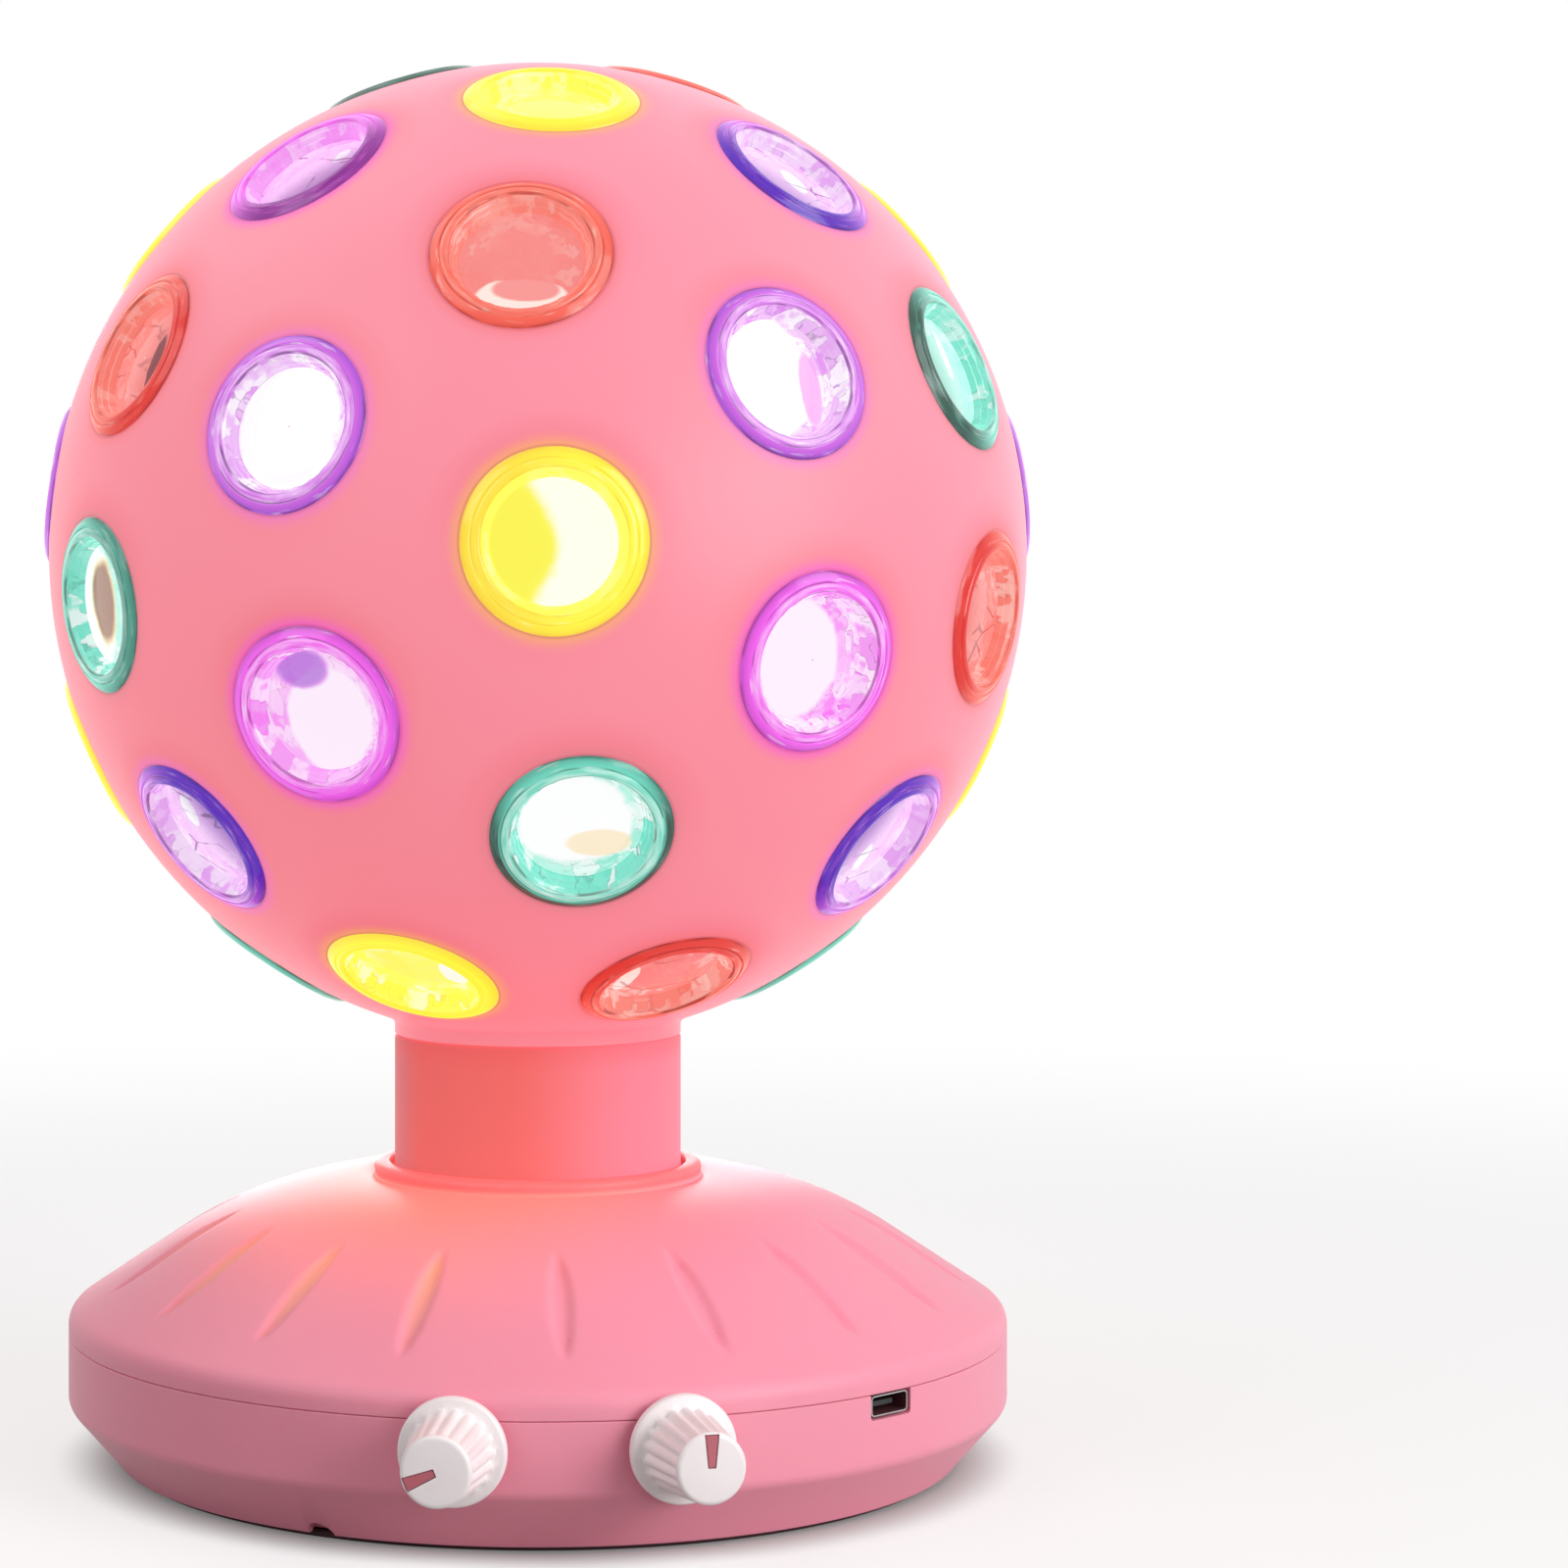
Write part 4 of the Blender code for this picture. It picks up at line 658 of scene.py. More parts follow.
def stage_material():
    """Pale floor that fades to white away from the object, with a painted contact shadow round the foot."""
    coat = Coat("pale_floor")
    distance = coat.vector_math("LENGTH", coat.place())
    away = distance.step(0.25, 0.6)
    tone = coat.mix(coat.noise(3.0), (152, 150, 149), (158, 156, 155))
    # Painted contact shadow: the floor's glow fades close to the foot.
    under = distance.step(FOOT_RADIUS, FOOT_RADIUS + 12.0 * MM, 0.2, 1.0)
    glow = under * coat.math("MULTIPLY_ADD", away, 0.32, 0.68)
    return coat.done({
        "Base Color": tone.towards((0, 0, 0), away), "Roughness": 0.8, "Specular IOR Level": 0.0,
        "Emission Color": WHITE, "Emission Strength": glow * coat.seen(),
    })


# Shapes


def skin(shape, rings, closed):
    """Skins rings of points. A ring of one point is a pole."""
    made = [[shape.verts.new(point) for point in points] for points in rings]
    pairs = list(zip(made, made[1:]))
    if closed:
        pairs.append((made[-1], made[0]))
    for low, high in pairs:
        count = max(len(low), len(high))
        for i in range(count):
            j = (i + 1) % count
            corners = (low[i % len(low)], low[j % len(low)], high[j % len(high)], high[i % len(high)])
            shape.faces.new(list(dict.fromkeys(corners)))


def ring(radius, height, segments, matrix):
    if radius == 0:
        return [matrix @ Vector((0, 0, height))]
    angles = [i * math.tau / segments for i in range(segments)]
    return [matrix @ Vector((radius * math.cos(a), radius * math.sin(a), height)) for a in angles]


def add_turned(shape, profile, segments, matrix=Matrix()):
    closed = profile[0][0] > 0 and profile[-1][0] > 0
    skin(shape, [ring(r, z, segments, matrix) for r, z in profile], closed)


def disc(radius, low, high):
    return ((0, low), (radius, low), (radius, high), (0, high))


def add_prism(shape, outline, low, high, matrix=Matrix()):
    bottom, top = ([shape.verts.new(matrix @ Vector((x, y, z))) for x, y in outline] for z in (low, high))
    shape.faces.new(list(reversed(bottom)))
    shape.faces.new(top)
    for i in range(len(outline)):
        j = (i + 1) % len(outline)
        shape.faces.new((bottom[i], bottom[j], top[j], top[i]))


def add_box(shape, low, high, matrix=Matrix()):
    low = Vector(low)
    high = Vector(high)
    size = Matrix.Diagonal((*(high - low), 1.0))
    bmesh.ops.create_cube(shape, size=1.0, matrix=matrix @ Matrix.Translation((low + high) / 2) @ size)


def rounded_rectangle(width, height, radius, steps=5):
    """Outline of a rectangle with round corners, counterclockwise."""
    points = []
    corners = ((1, 1, 0), (-1, 1, 1), (-1, -1, 2), (1, -1, 3))
    for x_side, y_side, quarter in corners:
        centre = Vector((x_side * (width / 2 - radius), y_side * (height / 2 - radius)))
        for i in range(steps + 1):
            angle = QUARTER_TURN * (quarter + i / steps)
            points.append((centre.x + radius * math.cos(angle), centre.y + radius * math.sin(angle)))
    return points


def mesh_of(shape):
    """A mesh from a bmesh, faces out."""
    bmesh.ops.recalc_face_normals(shape, faces=shape.faces)
    mesh = bpy.data.meshes.new("shape")
    shape.to_mesh(mesh)
    shape.free()
    return mesh


def turned_mesh(profile, segments, matrix=Matrix()):
    shape = bmesh.new()
    add_turned(shape, profile, segments, matrix)
    return mesh_of(shape)


def loose_object(name, data):
    made = bpy.data.objects.new(name, data)
    bpy.context.scene.collection.objects.link(made)
    return made


def baked(item):
    """The evaluated mesh of an object, which is then removed."""
    bpy.context.view_layer.update()
    graph = bpy.context.evaluated_depsgraph_get()
    mesh = bpy.data.meshes.new_from_object(item.evaluated_get(graph), depsgraph=graph)
    bpy.data.objects.remove(item)
    return mesh


def carved(mesh, *cutters):
    """The mesh with each cutter's shape taken out of it."""
    target = loose_object("target", mesh)
    tools = []
    for shape in cutters:
        tool = loose_object("tool", mesh_of(shape))
        modifier = target.modifiers.new("cut", "BOOLEAN")
        modifier.operation = "DIFFERENCE"
        modifier.solver = "EXACT"
        modifier.object = tool
        tools.append(tool)
    result = baked(target)
    for tool in tools:
        bpy.data.objects.remove(tool)
    return result


def shaped_by(group, mesh, values):
    """The mesh as a node tree shapes it, with values for the tree's named inputs."""
    item = loose_object("shaped", mesh)
    modifier = item.modifiers.new("shape", "NODES")
    modifier.node_group = group
    for socket in group.interface.items_tree:
        if socket.in_out == "INPUT" and socket.name in values:
            modifier[socket.identifier] = values[socket.name]
    return baked(item)


def finish_piece(name, mesh, finishes, body, nodes, sharp=SHARP_ANGLE):
    """Puts a finished mesh in the scene as a piece of one body."""
    mesh.name = name
    mesh.shade_smooth()
    mesh.set_sharp_from_angle(angle=math.radians(sharp))
    if finishes:
        mesh.materials.clear()
        for finish in finishes:
            mesh.materials.append(FINISHES[finish])
    piece = loose_object(name, mesh)
    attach(piece, body)
    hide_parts(*nodes)


# Geometry trees

WELD_DISTANCE = 1e-7
ZONES = ("First", "Second", "Third")
NO_ROW = 1e6


def new_group(name, inputs):
    """An empty geometry tree whose inputs are named by kind, its tree and its inputs."""
    group = bpy.data.node_groups.new(name, "GeometryNodeTree")
    for kind, names in inputs.items():
        for socket in names:
            group.interface.new_socket(socket, in_out="INPUT", socket_type=f"NodeSocket{kind}")
    group.interface.new_socket("Geometry", in_out="OUTPUT", socket_type="NodeSocketGeometry")
    tree = Tree(group)
    given = {socket.name: Field(tree, socket) for socket in tree.node("NodeGroupInput").outputs}
    return group, tree, given


def turning_tree():
    """Node tree that turns a profile. Rows where the profile's rib is 1 get the ribs."""
    group, tree, given = new_group("turning", {
        "Geometry": ["Places"], "Object": ["Profile"], "Int": ["Segments", "Ribs"],
        "Float": ["Rib Depth", "Rib Sharpness", "Second Row", "Third Row"],
        "Material": ["First Material", "Second Material", "Third Material"],
    })
    profile = tree.add("GeometryNodeObjectInfo", {"Object": given["Profile"]}, "Geometry")
    rows = tree.add("GeometryNodeAttributeDomainSize", {0: profile}, "Point Count", component="MESH")
    grid = tree.add("GeometryNodeMeshGrid", {
        "Size X": 1.0, "Size Y": 1.0, "Vertices X": given["Segments"] + 1.0, "Vertices Y": rows,
    }, "Mesh")
    position = tree.add("GeometryNodeInputPosition")
    across, along, _ = tree.split(position)
    row = (along + 0.5) * (rows - 1.0)
    kept = tree.node("GeometryNodeCaptureAttribute", domain="FACE")
    kept.capture_items.new("FLOAT", "Row")
    tree.feed(kept.inputs["Geometry"], grid)
    tree.feed(kept.inputs["Row"], row)
    index = tree.math("ROUND", row)

    def sampled(value, kind):
        inputs = {"Geometry": profile, "Index": index, "Value": value}
        return tree.add("GeometryNodeSampleIndex", inputs, "Value", data_type=kind)

    def named(name, kind):
        return tree.add("GeometryNodeInputNamedAttribute", {"Name": name}, "Attribute", data_type=kind)

    reach, _, height = tree.split(sampled(position, "FLOAT_VECTOR"))
    angle = (across + 0.5) * math.tau
    wave = tree.math("MULTIPLY_ADD", tree.math("COSINE", angle * given["Ribs"]), 0.5, 0.5)
    wave = tree.math("POWER", wave, given["Rib Sharpness"]) * sampled(named("rib", "FLOAT"), "FLOAT")
    reach = reach - wave * given["Rib Depth"]
    place = tree.joined(reach * tree.math("COSINE", angle), reach * tree.math("SINE", angle), height)
    solid = tree.add("GeometryNodeSetPosition", {"Geometry": kept.outputs["Geometry"], "Position": place})
    solid = solid.through("GeometryNodeMergeByDistance", {"Distance": WELD_DISTANCE})
    facing = named("facing", "FLOAT_VECTOR")
    turn = tree.add("FunctionNodeAlignRotationToVector", {"Vector": facing}, axis="Z")
    solid = given["Places"].through("GeometryNodeInstanceOnPoints", {"Instance": solid, "Rotation": turn})
    solid = solid.through("GeometryNodeRealizeInstances")
    for zone, start in zip(ZONES, (-1.0, given["Second Row"], given["Third Row"])):
        inputs = {"A": kept.outputs["Row"], "B": start}
        chosen = tree.add("FunctionNodeCompare", inputs, data_type="FLOAT", operation="GREATER_THAN")
        inputs = {"Selection": chosen, "Material": given[f"{zone} Material"]}
        solid = solid.through("GeometryNodeSetMaterial", inputs)
    tree.node("NodeGroupOutput", {"Geometry": solid})
    return group


def fluting_tree():
    """Node tree that sinks leaf shaped flutes into a turned dome."""
    group, tree, given = new_group("fluting", {
        "Geometry": ["Geometry"], "Int": ["Count"],
        "Float": ["First Angle", "Start Radius", "End Radius", "Width", "Depth", "Lowest"],
        "Material": ["Material"],
    })
    x, y, z = tree.split(tree.add("GeometryNodeInputPosition"))
    reach = tree.math("SQRT", x * x + y * y)
    angle = tree.math("ARCTAN2", y, x) - given["First Angle"]
    half = tree.math("DIVIDE", math.tau, given["Count"]) * 0.5
    across = tree.math("ABSOLUTE", tree.math("WRAP", angle, half, half * -1.0) * reach)
    along = (reach - given["Start Radius"]) / (given["End Radius"] - given["Start Radius"])
    leaf = tree.math("POWER", tree.math("SINE", along.clamped() * math.pi), 0.7)
    half_width = given["Width"] * 0.5 * leaf + TINY
    bowl = (across / half_width).step(1.0, 0.25) * leaf.step(0.1, 0.65)
    bowl = bowl * tree.math("GREATER_THAN", z, given["Lowest"])
    inputs = {0: tree.add("GeometryNodeInputNormal"), "Scale": bowl * (given["Depth"] * -1.0)}
    push = tree.add("ShaderNodeVectorMath", inputs, operation="SCALE")
    inputs = {"Name": "sunk", "Value": bowl}
    solid = given["Geometry"].through(
        "GeometryNodeStoreNamedAttribute", inputs, data_type="FLOAT", domain="POINT"
    )
    solid = solid.through("GeometryNodeSetPosition", {"Offset": push})
    solid = solid.through("GeometryNodeRealizeInstances")
    solid = solid.through("GeometryNodeSetMaterial", {"Material": given["Material"]})
    tree.node("NodeGroupOutput", {"Geometry": solid})
    return group


def turned_copies(profile, segments, places, materials, zones=(), ribs=0, rib_depth=0.0,
                  rib_rows=(), sharpness=1.0):
    """Mesh of a profile turned and set at each place, a point with the direction of its axis.

    zones are the profile rows where the second and third material start.
    """
    line = bpy.data.meshes.new("profile")
    line.from_pydata([(r, 0, z) for r, z in profile], [(i, i + 1) for i in range(len(profile) - 1)], [])
    rib = line.attributes.new("rib", "FLOAT", "POINT")
    rib.data.foreach_set("value", [float(i in rib_rows) for i in range(len(profile))])
    line_object = loose_object("profile", line)
    spots = bpy.data.meshes.new("places")
    spots.from_pydata([point for point, _ in places], [], [])
    facing = spots.attributes.new("facing", "FLOAT_VECTOR", "POINT")
    facing.data.foreach_set("vector", [value for _, axis in places for value in axis])
    values = {
        "Profile": line_object, "Segments": segments, "Ribs": ribs, "Rib Depth": rib_depth,
        "Rib Sharpness": sharpness,
    }
    for zone, start in zip(ZONES[1:], (*zones, NO_ROW, NO_ROW)):
        values[f"{zone} Row"] = float(start)
    for zone, material in zip(ZONES, (*materials, materials[-1], materials[-1])):
        values[f"{zone} Material"] = material
    mesh = shaped_by(TURNING, spots, values)
    bpy.data.objects.remove(line_object)
    return mesh


# Ball


def node_axis(node):
    """Direction of a lens from the ball's centre, from the middle of its frame solid."""
    points = [vertex.co for vertex in frame["nodes"][node].data.vertices]
    middle = sum(points, Vector()) / len(points)
    return (middle - BALL_CENTRE).normalized()


def lens_sides(direction):
    """A lens's own right and up, seen from outside."""
    right = Vector((0, 0, 1)).cross(direction)
    if right.length < TINY:
        right = Vector((1, 0, 0))
    right.normalize()
    return right, direction.cross(right)


def nearest_lens(point, lenses):
    away = (point - BALL_CENTRE).normalized()
    return max(lenses, key=lambda lens: away.dot(lens["axis"]))


def lay_lens_uv(mesh, lenses):
    """Each face gets the plane coordinates of its nearest lens, in rim radii, and its halo, the colour of the
    glow painted round that lens.
    """
    spots = []
    halos = []
    for face in mesh.polygons:
        lens = nearest_lens(face.center, lenses)
        right, up = lens["sides"]
        for corner in face.loop_indices:
            point = mesh.vertices[mesh.loops[corner].vertex_index].co - BALL_CENTRE
            spots += (point.dot(right) / LENS_RADIUS, point.dot(up) / LENS_RADIUS)
            halos += lens["halo"]
    mesh.uv_layers.new(name="lens_uv").data.foreach_set("uv", spots)
    mesh.attributes.new("halo", "FLOAT_COLOR", "CORNER").data.foreach_set("color", halos)


def lens_profile():
    """Domed face, ribbed cup wall, sloped rim and back, from the middle outwards."""
    points = []
    for i in range(FACE_STEPS + 1):
        share = i / FACE_STEPS
        ripple = FACE_RIPPLE * math.cos(share * math.tau * FACE_RIPPLES)
        points.append((FACE_RADIUS * share, FACE_EDGE + FACE_RISE * (1 - share ** 2) + ripple))
    cup_row = len(points) + 1
    for foot, steps in ((FACE_EDGE, CUP_STEPS), (BALL_RADIUS, RIM_STEPS)):
        points += [(radius * MM, foot + rise * MM) for radius, rise in steps]
    return points, cup_row, len(points) - len(RIM_STEPS) - 1


def make_lens(name, slot, lenses, nodes):
    """One piece that holds the lenses of a colour at their places."""
    profile, cup_row, rim_row = lens_profile()
    mesh = turned_copies(
        profile, LENS_SEGMENTS, [(BALL_CENTRE, lens["axis"]) for lens in lenses], LENS_FINISHES[slot],
        zones=(cup_row - 1.5, rim_row), ribs=LENS_RIBS, rib_depth=LENS_RIB_DEPTH,
        rib_rows=range(cup_row + 1, rim_row),
    )
    lay_lens_uv(mesh, lenses)
    owners = [nearest_lens(vertex.co, lenses) for vertex in mesh.vertices]
    for key in LENS_KEYS:
        values = mesh.attributes.new(key, "FLOAT_VECTOR", "POINT")
        values.data.foreach_set("vector", [value for lens in owners for value in lens[key]])
    finish_piece(name, mesh, (), "ball", nodes, sharp=LENS_SHARP_ANGLE)


LENS_KEYS = (
    "hot_place", "hot_size", "patch_place", "patch_size", "patch_look", "line_look",
    "dark_side", "seed_place",
)
NO_SPOT = (0.0, 0.0, 0.01, 0.01)


def look(hot=NO_SPOT, patch=NO_SPOT, strength=1.0, core=0.0, side_shade=0.0, dark=0.0,
         facets=0.5, cracks=0.0, outline=0.8):
    """Look of one lens. Hot area and patch are right, up, half width and half height, in rim radii.

    dark is how strongly the rim gets painted shade on the side towards the middle of its half.
    Below 0 only the rim's outermost ring gets painted shade, on the side away from the middle.
    """
    return {
        "hot_place": (hot[0], hot[1], 0.0), "hot_size": (hot[2], hot[3], 1.0 if dark < 0 else 0.0),
        "patch_place": (patch[0], patch[1], 0.0), "patch_size": (patch[2], patch[3], 1.0),
        "patch_look": (strength, core, side_shade), "line_look": (facets, cracks, outline), "dark": dark,
    }


# Looks of the front lenses
LENS_LOOKS = {
    "centre": look(
        (0.1, 0.0, 0.66, 0.76), (-0.8, -0.03, 0.84, 0.84), core=0.3, dark=0.45, facets=0.1, outline=0.4),
    "inner_1": look(
        (0.0, -0.48, 0.52, 0.2), (0.05, -0.4, 0.36, 0.15), strength=0.9, facets=0.2, outline=0.75),
    "inner_2": look((-0.02, 0.0, 0.64, 0.88), facets=0.8, outline=0.9),
    "inner_3": look((0.1, -0.1, 0.5, 0.62), (-0.16, 0.48, 0.34, 0.22), strength=0.85, core=0.7, facets=0.7),
    "inner_4": look(
        (-0.06, 0.08, 0.62, 0.56), (0.2, -0.2, 0.36, 0.18), strength=0.7, dark=-1.0, facets=0.8, outline=0.9),
    "inner_5": look((-0.16, 0.0, 0.5, 0.66), facets=0.9),
    "inner_6": look(
        (-0.18, 0.0, 0.52, 0.76), (0.34, -0.14, 0.14, 0.42), strength=0.9, facets=0.9, outline=0.9),
    "outer_1": look(facets=0.35, outline=0.1),
    "outer_2": look((0.25, 0.3, 0.08, 0.14), side_shade=0.8, dark=1.0, facets=0.35, cracks=0.8, outline=0.35),
    # Its dark patch at the right inside is a painted shadow.
    "outer_3": look(patch=(0.3, -0.1, 0.13, 0.42), core=1.0, side_shade=0.5, dark=0.95, facets=0.2, cracks=0.5),
    "outer_4": look(
        (-0.3, 0.0, 0.5, 0.75), (-0.06, 0.04, 0.33, 0.5), core=1.0, dark=0.5, facets=0.8, outline=0.9),
    "outer_5": look((-0.1, 0.3, 0.12, 0.2), side_shade=0.85, dark=0.95, facets=0.5, cracks=0.7),
    "outer_6": look(
        (0.45, -0.08, 0.14, 0.26), (-0.4, 0.0, 0.4, 0.5), strength=0.4, facets=0.6, outline=0.1),
    "outer_7": look((-0.4, -0.15, 0.1, 0.3), side_shade=0.2, dark=0.8, facets=0.5, cracks=0.5, outline=1.0),
    "outer_8": look((0.0, -0.25, 0.1, 0.2), side_shade=0.85, dark=0.95, facets=0.45, cracks=0.7),
    "outer_9": look(side_shade=0.4, dark=1.0, facets=0.4, cracks=0.6, outline=0.4),
    "outer_10": look((0.06, 0.2, 0.08, 0.3), side_shade=0.4, dark=0.95, facets=0.5, outline=0.7),
    "outer_11": look((0.1, 0.0, 0.14, 0.22), side_shade=0.6, dark=0.95, facets=0.4, cracks=0.7),
}

# Looks that lenses out of the picture borrow
BORROWED = {
    "lens_yellow": ("centre", "outer_6"),
    "lens_red": ("inner_1", "outer_7"),
    "lens_violet": ("inner_2", "inner_6"),
    "lens_magenta": ("inner_3", "inner_5"),
    "lens_green": ("inner_4", "outer_10"),
}
SEED_REACH = 40.0
FIRST_REAR_SEED = 100


def lens_record(name, axis, slot, seed):
    """All that a lens's shape and finish need to know."""
    draw = random.Random(seed)
    record = dict(LENS_LOOKS.get(name) or LENS_LOOKS[draw.choice(BORROWED[slot])])
    right, up = lens_sides(axis)
    inwards = POLE if axis.dot(POLE) > 0 else -POLE
    side = Vector((inwards.dot(right), inwards.dot(up)))
    if side.length > 0:
        side.normalize()
    dark = record.pop("dark")
    if dark < 0:
        side = -side
    tint = LENS_TINTS[slot]
    record.update({
        "axis": axis, "slot": slot, "sides": (right, up), "dark_side": (side.x, side.y, abs(dark)),
        "seed_place": tuple(draw.uniform(0.0, SEED_REACH) for _ in range(3)),
        "halo": (*srgb(*tint["halo"])[:3], tint["reach"]),
    })
    return record


def mirrored(axis):
    """The same place in the rear half."""
    return axis - 2 * axis.dot(POLE) * POLE


def all_lenses():
    """The lenses of the front half and of the joint, by node, and those of the rear half."""
    slots = {part["node"]: part["material_slot"] for part in frame["record"]["subparts"]}
    found = {"lens_front_": {}, "lens_seam_": {}}
    for seed, node in enumerate(sorted(frame["nodes"])):
        for start, lenses in found.items():
            if node.startswith(start):
                lenses[node] = lens_record(node.removeprefix(start), node_axis(node), slots[node], seed)
    front, seam = found.values()
    rear = [
        lens_record("rear", mirrored(lens["axis"]), lens["slot"], seed)
        for seed, lens in enumerate(front.values(), FIRST_REAR_SEED)
    ]
    return front, seam, rear


def ball_arc(radius, end, rows):
    """Section of the ball from its top down to an angle."""
    angles = [end * i / rows for i in range(1, rows + 1)]
    return [(0, radius)] + [(radius * math.sin(a), radius * math.cos(a)) for a in angles]


def ball_shell_mesh(side, lenses):
    """Half of the hollow ball with its collar and lens holes."""
    collar_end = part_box("ball_front_shell")[0].z - BALL_CENTRE.z
    inner_radius = BALL_RADIUS - BALL_WALL
    inner_neck = NECK_RADIUS - BALL_WALL
    outer = ball_arc(BALL_RADIUS, math.pi - math.asin((NECK_RADIUS + COLLAR_FILLET) / BALL_RADIUS), BALL_ROWS)
    inner = ball_arc(inner_radius, math.pi - math.asin(inner_neck / inner_radius), INNER_ROWS)
    foot = outer[-1][1]
    fillet = [
        (NECK_RADIUS + COLLAR_FILLET * (1 - share) ** 2, foot - COLLAR_FILLET * share * FILLET_DROP_SHARE)
        for share in FILLET_STEPS
    ]
    profile = outer + fillet + [(NECK_RADIUS, collar_end), (inner_neck, collar_end)] + inner[::-1]
    half = bmesh.new()
    near, far = sorted((side * HALF_GAP, -side * BALL_REACH))
    corners = ((-BALL_REACH, near, -BALL_REACH), (BALL_REACH, far, BALL_REACH))
    add_box(half, *corners, BALL_FRAME)
    holes = bmesh.new()
    hole = disc(LENS_HOLE_RADIUS, BALL_RADIUS * CUT_START_SHARE, BALL_REACH)
    for lens in lenses:
        matrix = Matrix.Translation(BALL_CENTRE) @ lens["axis"].to_track_quat("Z", "X").to_matrix().to_4x4()
        add_turned(holes, hole, LENS_HOLE_SEGMENTS, matrix)
    return carved(turned_mesh(profile, BALL_SEGMENTS, BALL_FRAME), half, holes)


def make_ball():
    front, seam, rear = all_lenses()
    on_seam = list(seam.values())
    in_front = list(front.values())
    lenses = in_front + on_seam + rear
    for name, side, own in (("ball_front_shell", -1, in_front), ("ball_rear_shell", 1, rear)):
        mesh = ball_shell_mesh(side, own + on_seam)
        lay_lens_uv(mesh, lenses)
        finish_piece(f"{name}_skin", mesh, ["ball"], "ball", [name])
    for node, lens in {**front, **seam}.items():
        make_lens(f"{node}_lit", lens["slot"], [lens], [node])
    clusters = ("rear_lens_cluster_inner", "rear_lens_cluster_outer")
    for slot in sorted({lens["slot"] for lens in rear}):
        own = [lens for lens in rear if lens["slot"] == slot]
        make_lens(f"rear_{slot}_set", slot, own, clusters)


def make_neck():
    low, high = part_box("neck_tube")
    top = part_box("ball_front_shell")[0].z - NECK_TOP_GAP
    bore = NECK_RADIUS - NECK_WALL
    profile = [
        (NECK_RADIUS - NECK_EDGE, low.z), (NECK_RADIUS, low.z + NECK_EDGE), (NECK_RADIUS, top - NECK_EDGE),
        (NECK_RADIUS - NECK_TOP_EDGE, top), (STEM_RADIUS, top), (STEM_RADIUS, high.z - FLANGE_THICKNESS),
        (FLANGE_RADIUS, high.z - FLANGE_THICKNESS), (FLANGE_RADIUS, high.z), (STEM_BORE, high.z),
        (STEM_BORE, top - NECK_TOP_WALL), (bore, top - NECK_TOP_WALL), (bore, low.z),
    ]
    mesh = turned_mesh(profile, NECK_SEGMENTS)
    finish_piece("neck_tube_skin", mesh, ["neck"], "ball", ["neck_tube"])


# Base


def lerp(first, second, share):
    return (first[0] + (second[0] - first[0]) * share, first[1] + (second[1] - first[1]) * share)


def bend(first, knee, last, steps):
    """Points of a curve from first to last that leaves and arrives towards the knee."""
    shares = [i / steps for i in range(steps + 1)]
    return [lerp(lerp(first, knee, share), lerp(knee, last, share), share) for share in shares]


def dome_line(steps, cone_steps):
    """The dome's outer line, from the lip's foot to the skirt."""
    top = LIP_FOOT
    rim = top - DOME_RISE
    lip_radius = NECK_RADIUS + COLLAR_RUNNING_GAP + LIP_WIDTH
    corner = (BASE_RADIUS, rim)
    knee = (
        lip_radius + (BASE_RADIUS - lip_radius) * CROWN_KNEE_RADIUS_SHARE,
        top - DOME_RISE * CROWN_KNEE_DROP_SHARE,
    )
    crown_end = lerp(knee, corner, CROWN_END_SHARE)
    rim_start = lerp(corner, crown_end, RIM_ROUND / math.dist(crown_end, corner))
    crown = bend((lip_radius, top), knee, crown_end, steps)
    run = [lerp(crown_end, rim_start, i / cone_steps) for i in range(1, cone_steps)]
    return crown + run + bend(rim_start, corner, (BASE_RADIUS, rim - RIM_ROUND), RIM_ROUND_STEPS)


def make_top_shell():
    lip_top = LIP_FOOT + LIP_HEIGHT
    seam = SEAM_HEIGHT + SEAM_GAP / 2
    bore = NECK_RADIUS + COLLAR_RUNNING_GAP
    lip = bore + LIP_WIDTH
    roll = lip - LIP_GROOVE
    outer = [(bore, lip_top - 0.5 * MM), (bore + 0.2 * MM, lip_top - 0.12 * MM)]
    outer += bend((bore + 0.5 * MM, lip_top), (roll, lip_top), (roll, lip_top - 1.0 * MM), 6)
    outer += [
        (roll - 0.1 * MM, LIP_FOOT), (roll + 0.15 * MM, LIP_FOOT - 0.35 * MM),
        (lip - 0.2 * MM, LIP_FOOT - 0.1 * MM),
    ]
    outer += dome_line(*DOME_STEPS)[1:]
    outer += [(BASE_RADIUS, seam + SEAM_CHAMFER), (BASE_RADIUS - SEAM_CHAMFER, seam)]
    flat_line = dome_line(*INNER_DOME_STEPS)
    inwards = BASE_WALL * INNER_RADIUS_SHARE
    drop = BASE_WALL * INNER_DROP_SHARE
    inner = [(max(bore, r - inwards), z - drop) for r, z in flat_line[:-4]]
    inner.append((BASE_RADIUS - BASE_WALL, flat_line[-1][1] - BASE_WALL))
    profile = outer + [(BASE_RADIUS - BASE_WALL, seam)] + inner[::-1]
    span = BASE_RADIUS - lip
    mesh = shaped_by(fluting_tree(), turned_mesh(profile, DOME_SEGMENTS), {
        "Count": FLUTE_COUNT, "First Angle": FRONT, "Start Radius": lip + span * FLUTE_START_SHARE,
        "End Radius": lip + span * FLUTE_END_SHARE, "Width": FLUTE_WIDTH, "Depth": FLUTE_DEPTH,
        "Lowest": seam, "Material": FINISHES["base"],
    })
    finish_piece("base_top_shell_skin", mesh, ["base"], "root", ["base_top_shell"])


